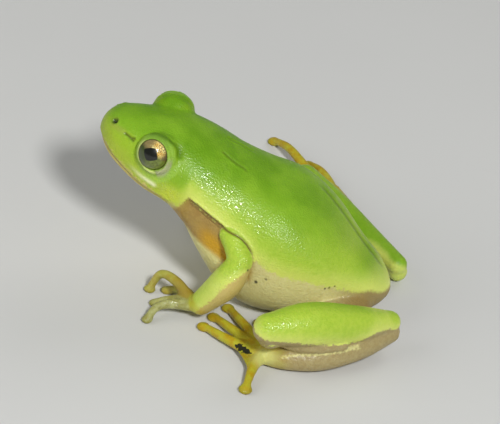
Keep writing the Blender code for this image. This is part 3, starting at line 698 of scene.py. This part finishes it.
def shape_lids(surface, side):
    """Lid rims round the eye, and the skin of the opening turned in behind the eyeball."""
    centre = np.array(eye_centre(side))
    look = unit(mirrored(LID_LOOK, side))
    away = surface.points - centre
    reach = np.linalg.norm(away, axis=1)
    near = np.where(reach < 5.0)[0]
    away, reach = away[near], reach[near]
    out = away / reach[:, None]
    angle, turn, opening = lid_angles(out, side)
    beyond = angle - opening
    outside = beyond > 0
    upper = rise(120, 50, np.abs(turn + 25))
    rim = hump(beyond, 5.5, 5.5) * (0.05 + 0.08 * upper)
    roll = hump(beyond, 11.0, 22.0) * 0.10 * upper
    lifted = away + out * np.where(outside, rim + roll, 0.0)[:, None]

    # Inside the opening the skin is bent back round the eyeball to the far side of it.
    inner = np.where(beyond > -3.0, opening,
                     180 - (180 - opening) * angle / np.maximum(opening - 3.0, 1))
    around = unit(out - look * (out @ look)[:, None])
    bent = np.radians(inner)[:, None]
    cup = EYE_RADIUS + CUP_GAP
    tucked = cup * (look * np.cos(bent) + around * np.sin(bent))
    within = (beyond < 0) & (reach < 3.6)
    result = np.where(within[:, None], tucked, lifted)
    held = (~within) & (np.linalg.norm(result, axis=1) < cup + CUP_GAP / 2)
    result[held] = unit(result[held]) * (cup + CUP_GAP / 2)
    surface.points[near] = centre + result

    close = (reach < 3.9) & outside
    fields = []
    for band in (rise(34.0, 20.0, beyond),
                 rise(13.0, 6.0, beyond) * rise(95, 60, np.abs(turn - 105)),
                 rise(20.0, 12.0, beyond) * rise(60, 25, np.abs(turn + 160))):
        fields.append(np.zeros(len(surface.points)))
        fields[-1][near] = band * close
    return fields


# ------------ where each point lies
class Limbs:
    """For each point the stretch of limb that it belongs to, and where on it the point lies."""

    def __init__(self, points):
        count = len(points)
        self.name = np.full(count, "trunk", "<U9")
        self.clearance = np.full(count, LIMB_REACH)     # distance from the stretch's surface
        self.side = np.zeros(count)
        self.number = np.zeros(count)
        self.share = np.zeros(count)                    # of the stretch's length
        self.out = np.zeros((count, 3))                 # from the bone, x away from the body
        for name, side, number, rows in body_parts():
            dense = np.array(smooth_route(rows, 8 * (len(rows) - 1)))
            low, high = dense[:, :3].min(0) - 4, dense[:, :3].max(0) + 4
            near = np.where(((points > low) & (points < high)).all(1))[0]
            d, share = route_distance(points[near], dense[:, :3], 9.0)
            places = np.linspace(0, 1, len(dense))
            *axis, radius = (np.interp(share, places, column) for column in dense.T)
            clearance = d - radius
            closer = clearance < self.clearance[near]
            chosen = near[closer]
            self.name[chosen] = name
            self.clearance[chosen] = clearance[closer]
            self.side[chosen] = side
            self.number[chosen] = number
            self.share[chosen] = share[closer]
            away = unit(points[chosen] - np.stack(axis, 1)[closer])
            self.out[chosen] = away * (side, 1, 1)
        self.name[trunk_depth(points) < self.clearance] = "trunk"
        self.trunk = self.name == "trunk"


def trunk_depth(points):
    """How far each point lies outside the head and trunk, roughly, in millimetres."""
    grid = np.linspace(0, BODY_LENGTH, 160)
    table = np.array([[smooth_value(BODY_STATIONS, c, y) for c in range(1, 7)] for y in grid])
    ys = np.clip(points[:, 1], 0.0, BODY_LENGTH)
    side, top, bottom, half, upper, lower = (np.interp(ys, grid, column) for column in table.T)
    over = points[:, 2] > side
    height = np.where(over, top - side, side - bottom)
    power = np.where(over, upper, lower)
    x = np.abs(points[:, 0]) / half
    z = np.abs(points[:, 2] - side) / np.maximum(height, 0.5)
    level = (x ** power + z ** power) ** (1 / power)
    beyond = np.maximum(points[:, 1] - BODY_LENGTH, 0) + np.maximum(-points[:, 1], 0)
    return (level - 1) * np.minimum(half, height) + beyond


# ------------ fields for the colours
def green_field(surface, limbs):
    """How deep each point lies in the green, in millimetres, and below zero outside it."""
    green = np.where(limbs.trunk, above_edge(surface.points), 0.0)
    right = limbs.side < 0
    for name, direction, levels in LIMB_GREEN:
        facing = limbs.out @ unit(direction)
        value = 3.0 * (facing - np.interp(limbs.share, *np.array(levels).T))
        if name == "shank":
            # The right shank is green all round, the flesh pressed out below the left one never.
            value = np.where(right, np.maximum(value + 1.3, 0.6), value)
            value = np.where(~right & (limbs.clearance > 0.25), -1.0, value)
        if name == "tarsus":
            # The right heel carries on the green of the shank.
            value = np.where(right, np.minimum(2.0 - 10.0 * limbs.share + 1.5 * facing, 0.8), value)
        green = np.where(limbs.name == name, value, green)
    return np.clip(surface.smoothed(green, 4), -4, 8)


def lime_field(surface, limbs, normals):
    """Lime low on the flanks, on the sides of the snout and on the outside of the limbs, less of it
    on the right limbs as painted shade.
    """
    y = surface.points[:, 1]
    dark = np.interp(y, (8.0, 14.0, 24.0), (2.2, 3.4, 7.0))
    bright = np.interp(y, (8.0, 14.0), (1.3, 0.8))
    flank = rise(dark, bright, above_edge(surface.points))
    snout_side = rise(0.80, 0.45, normals[:, 2]) * rise(6.5, 4.5, y)
    lime = np.maximum(flank, 0.85 * snout_side) * rise(38.0, 33.0, y)
    outward = rise(-0.6, 0.4, normals[:, 0] * limbs.side)
    # Painted shade: the right limbs get less of the lime.
    on_limbs = (0.25 + 0.75 * outward) * np.where(limbs.side < 0, RIGHT_SHADED_LIME, 1.0)
    return surface.smoothed(np.where(limbs.trunk, lime, on_limbs), 10)


def digit_fields(surface, limbs):
    """Where hands and feet are golden, silvery, tawny or pale, and where their webs are."""
    finger = limbs.name == "finger"
    webbed = finger | (limbs.name == "toe")
    digit = np.where(webbed, 1.0, 0.0)
    digit = np.where(limbs.name == "tarsus", rise(0.78, 1.0, limbs.share), digit)
    digit = np.where(limbs.name == "forearm", 0.7 * rise(0.9, 1.0, limbs.share), digit)
    outer = rise(2.4, 3.2, limbs.number)
    inner = (limbs.number < 3) * rise(0.6, 0.2, limbs.share)
    ones = np.ones(len(limbs.side))
    own_side = surface.points * np.column_stack((limbs.side, ones, ones))
    far = np.linalg.norm(own_side - FOOT_PALE, axis=1)
    return {
        "digit": surface.smoothed(digit, 12),
        "pale_digit": surface.smoothed(finger * (0.45 + 0.55 * outer), 6),
        "tawny": surface.smoothed(finger * inner, 6),
        "foot_pale": surface.smoothed(rise(2.4, 0.8, far) * ~limbs.trunk, 4),
        "web": surface.smoothed(webbed * rise(0.0, 0.3, limbs.clearance), 3),
    }


def ridge_field(surface, limbs, normals, tree):
    """The cream ridge along each tarsus: by its slope on the right, by its route on the left."""
    slope = np.interp(limbs.share, *np.array(RIDGE_SLOPE).T)
    outward = rise(0.1, 0.4, normals[:, 0] * limbs.side + normals[:, 1])
    right = (hump(normals[:, 2], 0.12, slope) * outward * rise(0.15, 0.33, limbs.share)
             * (limbs.name == "tarsus") * (limbs.side < 0))
    d, share = route_distance(surface.points, laid_on(tree, TARSUS_RIDGE, 30), 2.0)
    left = hump(d, 0.36 + 0.25 * rise(0.7, 0.95, share))
    return np.maximum(surface.smoothed(right, 3), left)


def trunk_fields(surface, limbs, normals):
    """Where throat, chin, jaw, vent and undersides have colours of their own, and where painted
    shade darkens the snout and the rump.
    """
    x, y, z = surface.points.T
    trunk = limbs.trunk
    over_chest = z - (9.9 - 0.45 * (y - 14.8))
    behind_jaw = y - 11.7 - (z - 14) / 2
    throat = (rise(-0.5, 0.5, over_chest) * rise(-0.4, 0.4, behind_jaw)
              * rise(23.0, 21.5, y) * trunk)
    inner_thigh = ((limbs.name == "thigh") * rise(0.45, 0.2, limbs.share)
                   * rise(32.5, 36.0, y))
    vent = np.maximum(rise(31.5, 37.0, y) * trunk * (z < 9), inner_thigh)
    arm = (limbs.name == "forearm") | (limbs.name == "upper_arm")
    return {
        "throat": surface.smoothed(throat, 5),
        "orange": rise(3.4, 1.4, over_chest) * rise(14.2, 16.6, y),
        "chin": rise(14.0, 10.0, y) * trunk,
        "jaw": hump(y, 1.5, 10.6) * hump(z, 1.1, 15.2) * (np.abs(x) > 4),
        # Painted shade on the snout where its surface faces sideways and down.
        "snout": rise(15.0, 8.5, y) * rise(0.92, 0.55, normals[:, 2]) * trunk,
        # Painted shade on the rump.
        "rump": (rise(30.0, 34.0, y) * rise(38.5, 37.0, y)
                 * rise(4.5, 2.0, np.abs(x)) * trunk),
        "vent": surface.smoothed(vent, 4),
        "arm": surface.smoothed(np.where(arm, 1.0, 0.0), 8),
        "under_limb": surface.smoothed(np.where(trunk, 0.0, 1.0), 8),
    }


def mark_fields(surface):
    """Wet patches, dark specks and the painted shadow on the web."""
    wet = np.max([hump(surface.distance(place), reach) for place, reach in WET_PATCHES], 0)
    speck = np.max([rise(1.5 * size, 0.6 * size, surface.distance(place))
                    for place, size in DARK_SPOTS], 0)
    d, share = route_distance(surface.points, WEB_SHADOW, 2.0)
    return {"wet": wet, "speck": speck, "mark": hump(d, 0.24 + 0.42 * np.sin(np.pi * share))}


def hollow_shade_field(surface, normals):
    """How hollow the skin is at each point, left out round the lids; the skin's colour is darkened
    there as painted shade.
    """
    rounded = surface.smoothed(surface.points, 12)
    depth = surface.smoothed(((rounded - surface.points) * normals).sum(1), 1)
    for side in (1, -1):
        beyond = surface.distance(lid_centre(side)) - LID_RADIUS
        depth = depth * rise(2.0, 2.6, beyond)
    return np.clip(depth * 8, -1, 1)


# ------------ granules
def cells(points, size, seed):
    """Distances to the nearest and second nearest of scattered points, in cell sizes."""
    scaled = points / size
    base = np.floor(scaled).astype(np.int64)
    first = np.full(len(points), 9.0)
    second = np.full(len(points), 9.0)
    for step in itertools.product((-1, 0, 1), repeat=3):
        cell = base + step
        mixed = (cell[:, 0] * 73856093 ^ cell[:, 1] * 19349663
                 ^ cell[:, 2] * 83492791 ^ seed * 2654435761)
        offset = np.stack([((mixed >> shift) % 1021) / 1021.0 for shift in (3, 9, 15)], 1)
        d = np.linalg.norm(cell + 0.15 + 0.7 * offset - scaled, axis=1)
        closer = d < first
        second = np.where(closer, first, np.minimum(second, d))
        first = np.where(closer, d, first)
    return first, second


def grains(points, size, seed):
    """Rounded grains of a size: 1 on each of them, 0 in the furrows between them."""
    first, second = cells(points, size, seed)
    return rise(0.0, 0.45, second - first)


def raise_granules(surface, normals, fields, trunk):
    """Coarse grains on the belly, fine ones elsewhere but on the snout, beads where it is wet."""
    points = surface.points
    belly = rise(0.4, -1.2, fields["green"]) * trunk * (points[:, 1] > 13)
    plain = (1 - belly) * (1 - fields["digit"]) * (1 - fields["lid"]) * (points[:, 1] > 3)
    beaded = np.maximum(np.maximum(fields["jaw"], fields["ridge"]), fields["wet"])
    lift = (0.040 * belly * (grains(points, 0.50, 7) - 0.5)
            + 0.012 * plain * (grains(points, 0.34, 11) - 0.5)
            + 0.08 * beaded * (grains(points, 0.42, 5) - 0.4))
    surface.lift(normals, lift)


def keep_inside(surface, cad_box):
    """Keeps the skin inside the box of the solids, and what rests on the floor flat."""
    low, high = np.array(cad_box) / MM + (0.0, SNOUT_TO_ORIGIN, 0.0)
    surface.points = np.clip(surface.points, low + BOX_MARGIN, high - BOX_MARGIN)
    height = surface.points[:, 2]
    height[height < 2 * BOX_MARGIN] = 0.0


def dress_skin(surface, cad_box):
    """Shapes the fused skin and keeps on it the fields that its material reads."""
    surface.points = surface.smoothed(surface.points, SKIN_SMOOTHING)
    for side in (1, -1):
        surface.eased(lid_centre(side), LID_RADIUS - 0.7, LID_RADIUS + 2.2, LID_SMOOTHING)
    limbs = Limbs(surface.points)
    tree = BVHTree.FromPolygons(surface.points.tolist(), surface.quads.tolist())
    fields = press_features(surface, tree)
    tuck_throat(surface, limbs.trunk)
    lids = [shape_lids(surface, side) for side in (1, -1)]
    for name, left, right in zip(("lid", "front_rim", "rear_rim"), *lids):
        fields[name] = np.maximum(left, right)
    surface.points[:, 2] = np.maximum(surface.points[:, 2], 0.0)
    normals = surface.normals()
    fields["cavity_shade"] = hollow_shade_field(surface, normals)
    fields["green"] = green_field(surface, limbs)
    fields["lime"] = lime_field(surface, limbs, normals)
    fields["ridge"] = ridge_field(surface, limbs, normals, tree)
    fields.update(digit_fields(surface, limbs))
    fields.update(trunk_fields(surface, limbs, normals))
    fields.update(mark_fields(surface))
    for name, values in fields.items():
        surface.keep(name, values)
    raise_granules(surface, normals, fields, limbs.trunk)
    keep_inside(surface, cad_box)
    surface.store()


# ------------ material helpers
class Nodes:
    """Shorthand for building a node tree. Colours are linear red, green and blue."""

    def __init__(self, name):
        self.material = bpy.data.materials.new(name)
        self.material.use_nodes = True
        self.tree = self.material.node_tree
        self.tree.nodes.clear()
        self.shader = self.add("ShaderNodeBsdfPrincipled")
        output = self.add("ShaderNodeOutputMaterial")
        self.tree.links.new(self.shader.outputs[0], output.inputs["Surface"])
        self.place = self.add("ShaderNodeTexCoord").outputs["Object"]

    def add(self, kind, **settings):
        node = self.tree.nodes.new(kind)
        for key, value in settings.items():
            setattr(node, key, value)
        return node

    def feed(self, socket, value):
        if isinstance(value, bpy.types.NodeSocket):
            self.tree.links.new(value, socket)
        else:
            socket.default_value = value

    def feed_all(self, node, **values):
        """Feeds inputs by their names, in which an underscore stands for a space."""
        for name, value in values.items():
            self.feed(node.inputs[name.replace("_", " ")], value)

    def field(self, name):
        return self.add("ShaderNodeAttribute", attribute_name=name).outputs["Fac"]

    def math(self, operation, a, b=0.0):
        node = self.add("ShaderNodeMath", operation=operation)
        self.feed(node.inputs[0], a)
        self.feed(node.inputs[1], b)
        return node.outputs[0]

    def times(self, a, b):
        return self.math("MULTIPLY", a, b)

    def plus(self, a, b):
        return self.math("ADD", a, b)

    def ramp(self, value, low, high, start=0.0, end=1.0):
        """Smooth passage from start to end as the value goes from low to high."""
        node = self.add("ShaderNodeMapRange", interpolation_type="SMOOTHSTEP")
        for socket, number in zip(node.inputs[1:5], (low, high, start, end)):
            socket.default_value = number
        self.feed(node.inputs[0], value)
        return node.outputs[0]

    def noise(self, size, detail=3.0, roughness=0.55):
        """Noise whose features are about size millimetres, 0 to 1."""
        node = self.add("ShaderNodeTexNoise")
        self.feed_all(node, Vector=self.place, Scale=1 / (size * MM), Detail=detail,
                      Roughness=roughness)
        return node.outputs["Fac"]

    def swing(self, noise, height):
        """Noise turned into a value that swings evenly about zero."""
        return self.times(self.math("SUBTRACT", noise, 0.5), height)

    def cells(self, size, feature="F1"):
        node = self.add("ShaderNodeTexVoronoi", feature=feature)
        self.feed_all(node, Vector=self.place, Scale=1 / (size * MM))
        return node.outputs["Distance"]

    def mix(self, share, a, b):
        node = self.add("ShaderNodeMix", data_type="RGBA", clamp_factor=True)
        self.feed(node.inputs["Factor"], share)
        for name, colour in (("A", a), ("B", b)):
            self.feed(node.inputs[name], (*colour, 1.0) if isinstance(colour, tuple) else colour)
        return node.outputs["Result"]

    def mottle(self, noise, low, high, a, b):
        """Two colours in patches: a where the noise is below low, b where it is above high."""
        return self.mix(self.ramp(noise, low, high), a, b)

    def over(self, colour, field, share, paint):
        """Lays a paint over a colour where a field of the surface is strong."""
        return self.mix(self.times(self.field(field), share), colour, paint)


# ------------ skin
def green_colour(n, fine, green):
    """The back with painted shade on the rump, the lime flanks and the yellow border of the green,
    with painted shade on the snout.
    """
    mottled = n.plus(n.noise(7.0), n.swing(n.noise(2.2), 0.4))
    back = n.mottle(mottled, 0.3, 0.7, (0.14, 0.32, 0.004), (0.22, 0.43, 0.016))
    # Painted shade: the back is darker on the rump.
    back = n.over(back, "rump", 0.60, (0.11, 0.25, 0.004))
    flank = n.mottle(fine, 0.35, 0.65, (0.38, 0.56, 0.040), (0.44, 0.60, 0.055))
    colour = n.mix(n.field("lime"), back, flank)
    # Painted shade on the front and sides of the snout, over the green and over its yellow border.
    colour = n.over(colour, "snout", 0.65, (0.27, 0.43, 0.010))
    border = n.over((0.66, 0.74, 0.15), "snout", 0.9, (0.32, 0.42, 0.020))
    return n.mix(n.ramp(green, 2.4, 0.0), colour, border)


def under_colour(n, fine):
    """The cream belly, the pinkish undersides, the throat and the ridge of the tarsus."""
    cream = n.mottle(fine, 0.2, 0.8, (0.66, 0.60, 0.24), (0.72, 0.68, 0.31))
    pinkish = n.mottle(fine, 0.2, 0.8, (0.34, 0.26, 0.10), (0.42, 0.35, 0.16))
    under = n.mix(n.field("under_limb"), cream, pinkish)
    for field, share, paint in (("arm", 0.8, (0.65, 0.52, 0.15)),
                                ("vent", 0.85, (0.28, 0.19, 0.05)),
                                ("chin", 0.8, (0.47, 0.40, 0.10))):
        under = n.over(under, field, share, paint)
    brown = n.mottle(n.noise(1.6), 0.35, 0.65, (0.33, 0.205, 0.050), (0.38, 0.255, 0.065))
    throat = n.mix(n.field("orange"), brown, (0.52, 0.29, 0.012))
    under = n.mix(n.field("throat"), under, throat)
    ragged = n.plus(n.field("ridge"), n.times(n.noise(0.40), 1.3))
    return n.mottle(ragged, 1.25, 1.75, under, (0.66, 0.62, 0.26))


def digit_colour(n):
    """Golden toes, silvery outer fingers, tawny inner ones, and the pale outer edge of a foot."""
    golden = n.mottle(n.noise(1.2), 0.35, 0.65, (0.45, 0.31, 0.008), (0.46, 0.44, 0.026))
    silvery = n.mottle(n.noise(0.8), 0.35, 0.65, (0.29, 0.28, 0.07), (0.40, 0.41, 0.16))
    colour = n.mix(n.field("pale_digit"), golden, silvery)
    colour = n.over(colour, "tawny", 0.8, (0.29, 0.20, 0.020))
    return n.over(colour, "foot_pale", 0.9, (0.62, 0.62, 0.19))


def skin_colour(n):
    fine = n.noise(0.5)
    calm = n.ramp(n.field("vent"), 0.0, 1.0, 1.0, 0.25)
    green = n.plus(n.field("green"), n.times(n.swing(n.noise(0.9, 4.0, 0.65), 1.2), calm))
    speckled = n.plus(green, n.times(n.swing(n.noise(0.28, 2.0), 1.4), calm))
    colour = n.mottle(speckled, -0.25, 0.25, under_colour(n, fine), green_colour(n, fine, green))
    colour = n.mix(n.field("digit"), colour, digit_colour(n))
    colour = n.over(colour, "web", 0.40, (0.20, 0.17, 0.012))
    # Painted shade: the colour darkens where the skin is hollow.
    hollow = n.ramp(n.field("cavity_shade"), 0.15, 0.9)
    colour = n.mix(n.times(hollow, 0.30), colour, (0.12, 0.12, 0.01))
    # The paints include painted shade in the lid crease, the creases by the eye and neck, the arm
    # fold and the fold above the right thigh.
    for field, share, paint in PAINTS:
        colour = n.over(colour, field, share, paint)
    specks = n.times(n.field("speck"), n.ramp(n.noise(0.5), 0.25, 0.45))
    colour = n.mix(specks, colour, (0.03, 0.03, 0.01))
    # Painted shadow on the web, with a ragged edge.
    web_shadow_blotch = n.plus(n.field("mark"), n.times(n.noise(0.40), 1.5))
    colour = n.mottle(web_shadow_blotch, 1.34, 1.48, colour, (0.018, 0.018, 0.006))
    # Painted shade in the nostrils' pits.
    nostril_shade = n.times(n.field("nostril_shade"), n.ramp(n.noise(0.25), 0.32, 0.48))
    return n.mix(nostril_shade, colour, (0.02, 0.025, 0.01))


def skin_material():
    n = Nodes("frog_skin")
    dry = n.ramp(n.noise(2.5), 0.35, 0.65, 0.50, 0.38)
    beads = n.times(n.field("wet"), n.ramp(n.cells(0.30), 0.60, 0.25))
    relief = n.add("ShaderNodeBump")
    height = n.plus(n.times(n.cells(0.26), -1.0), n.times(n.noise(0.14, 2.0), 0.6))
    n.feed_all(relief, Strength=0.8, Distance=0.06 * MM, Height=height)
    n.feed_all(n.shader, Base_Color=skin_colour(n),
               Roughness=n.math("SUBTRACT", dry, n.times(beads, 0.34)),
               Coat_Weight=n.plus(n.times(beads, 0.9), 0.10), Coat_Roughness=0.13, Coat_IOR=1.9,
               Normal=relief.outputs[0], Coat_Normal=relief.outputs[0],
               Specular_IOR_Level=0.30, Subsurface_Weight=0.15,
               Subsurface_Radius=(0.9, 0.6, 0.25), Subsurface_Scale=0.0008)
    return n.material


# ------------ eyes
def pupil_shape(n, along, upward):
    """1 on the rim of the pupil, less inside it: a rounded, slightly ragged diamond."""
    reach = []
    for distance, middle, half in zip((along, upward), PUPIL_MIDDLE, PUPIL):
        distance = n.math("ABSOLUTE", n.math("SUBTRACT", distance, middle))
        reach.append(n.math("POWER", n.math("DIVIDE", distance, half), PUPIL_POINTS))
    return n.plus(n.plus(*reach), n.times(n.noise(0.25), 0.16))


def eye_material():
    """Gold iris with dark veins over an olive lower half, painted shade next to the lids, in the
    eye's own frame.
    """
    n = Nodes("frog_eye")
    n.place = n.add("ShaderNodeAttribute", attribute_name="eye_place").outputs["Vector"]
    split = n.add("ShaderNodeSeparateXYZ")
    n.feed(split.inputs[0], n.place)
    along, upward = (n.times(split.outputs[i], 1 / MM) for i in range(2))

    veins = n.plus(n.cells(0.24, "DISTANCE_TO_EDGE"), n.times(n.noise(0.16), 0.22))
    gold = n.mottle(n.noise(0.5), 0.3, 0.7, (0.84, 0.48, 0.08), (1.0, 0.88, 0.34))
    gold = n.mottle(veins, 0.10, 0.26, (0.14, 0.08, 0.02), gold)
    tan = n.mix(n.noise(0.3), (0.16, 0.12, 0.04), (0.34, 0.26, 0.10))
    upper = n.mottle(along, -0.9, 0.0, tan, gold)
    upper = n.mottle(along, 1.0, 1.7, upper, (0.10, 0.065, 0.010))
    olive = n.mottle(n.noise(0.3), 0.3, 0.7, (0.10, 0.13, 0.015), (0.18, 0.23, 0.035))
    lower = n.mottle(along, -0.6, 0.9, (0.045, 0.065, 0.012), olive)
    wavy = n.plus(upward, n.times(n.noise(0.6), 0.5))
    iris = n.mottle(wavy, 0.15, 0.75, lower, upper)
    # Painted shade where the iris meets the lids.
    iris = n.mottle(n.field("edge"), 0.0, 5.0, (0.07, 0.065, 0.015), iris)
    colour = n.mottle(pupil_shape(n, along, upward), 1.0, 1.18, (0.004, 0.005, 0.002), iris)
    n.feed_all(n.shader, Base_Color=colour, Roughness=0.35, Specular_IOR_Level=0.3,
               Coat_Weight=0.8, Coat_Roughness=0.04)
    return n.material


def add_eye(label, side, material):
    """An eyeball with its own frame: +Z looks out of the lids, +X runs back along the jaw."""
    look = Vector(mirrored(GAZE, side)).normalized()
    back = Vector((0.0, math.cos(JAW_SLOPE), -math.sin(JAW_SLOPE)))
    back = (back - back.project(look)).normalized()
    upward = look.cross(back) * side
    turn = Matrix((back, upward, look)).transposed()
    bm = bmesh.new()
    bmesh.ops.create_uvsphere(bm, u_segments=96, v_segments=64, radius=EYE_RADIUS * MM)
    if side < 0:
        bmesh.ops.reverse_faces(bm, faces=bm.faces)
    own_places, edges = [], []
    for vertex in bm.verts:
        cornea = max(0.0, vertex.co.z / (EYE_RADIUS * MM) - 0.55) / 0.45
        own_places.append(vertex.co * (1 + CORNEA_BULGE * cornea ** 2))
        away = turn @ own_places[-1]
        angle, _, opening = lid_angles(np.array(away.normalized()), side)
        edges.append(opening - angle)
        vertex.co = to_world(eye_centre(side)) + away
    eye = add_object(f"{label}_eyeball", bm)
    eye.data.materials.append(material)
    place = eye.data.attributes.new("eye_place", "FLOAT_VECTOR", "POINT")
    place.data.foreach_set("vector", np.array(own_places, np.float32).ravel())
    # Degrees inside the lids' edge, which the iris's painted shade reads.
    edge = eye.data.attributes.new("edge", "FLOAT", "POINT")
    edge.data.foreach_set("value", np.array(edges, np.float32))
    eye.data.shade_smooth()
    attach(eye, "root")
    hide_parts(f"{label}_eye")


# ------------ stage
def add_light(name, place, size, power, glossy):
    """A round soft light that points at the frog."""
    light = bpy.data.lights.new(name, "AREA")
    light.shape = "DISK"
    light.size = size
    light.energy = power
    obj = link(name, light)
    obj.location = place
    way = Vector(LIT_POINT) - Vector(place)
    obj.rotation_euler = way.to_track_quat("-Z", "Y").to_euler()
    obj.visible_glossy = glossy


def set_stage():
    n = Nodes("floor_pale")
    tone = n.mix(n.noise(60.0), (0.62, 0.62, 0.60), (0.66, 0.66, 0.64))
    bm = bmesh.new()
    bmesh.ops.create_grid(bm, x_segments=2, y_segments=2, size=FLOOR_SIZE / 2)
    n.feed_all(n.shader, Base_Color=tone, Roughness=0.8)
    floor = add_object("floor", bm)
    floor.data.materials.append(n.material)
    world = bpy.data.worlds.new("studio")
    world.use_nodes = True
    colour, strength = world.node_tree.nodes["Background"].inputs[:2]
    colour.default_value = (0.85, 0.87, 0.88, 1.0)
    strength.default_value = 0.20
    bpy.context.scene.world = world
    for row in LIGHTS:
        add_light(*row)


def set_camera():
    camera = bpy.data.cameras.new("camera")
    camera.sensor_width = 36.0
    camera.lens = CAMERA_LENS
    camera.clip_start = 0.01
    azimuth, elevation, roll = (math.radians(angle) for angle in CAMERA_ANGLES)
    turn = (Matrix.Rotation(azimuth, 4, "Z") @ Matrix.Rotation(math.pi / 2 - elevation, 4, "X")
            @ Matrix.Rotation(roll, 4, "Z"))
    away = Matrix.Translation((0, 0, CAMERA_DISTANCE * MM))
    obj = link("camera", camera)
    obj.matrix_world = Matrix.Translation(Vector(CAMERA_AIM) * MM) @ turn @ away
    bpy.context.scene.camera = obj


# ------------ the model
def main():
    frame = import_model()
    cad_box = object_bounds()
    mesh = fused_skin()
    dress_skin(Surface(mesh), cad_box)
    mesh.shade_smooth()
    mesh.materials.clear()
    mesh.materials.append(skin_material())
    skin = link("frog_skin", mesh)
    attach(skin, "root")
    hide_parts(*[name for name in sorted(frame["nodes"]) if "eye" not in name])
    iris = eye_material()
    add_eye("left", 1, iris)
    add_eye("right", -1, iris)
    set_stage()
    set_camera()
    bpy.context.scene.view_settings.view_transform = "Standard"
    bpy.context.view_layer.update()


main()
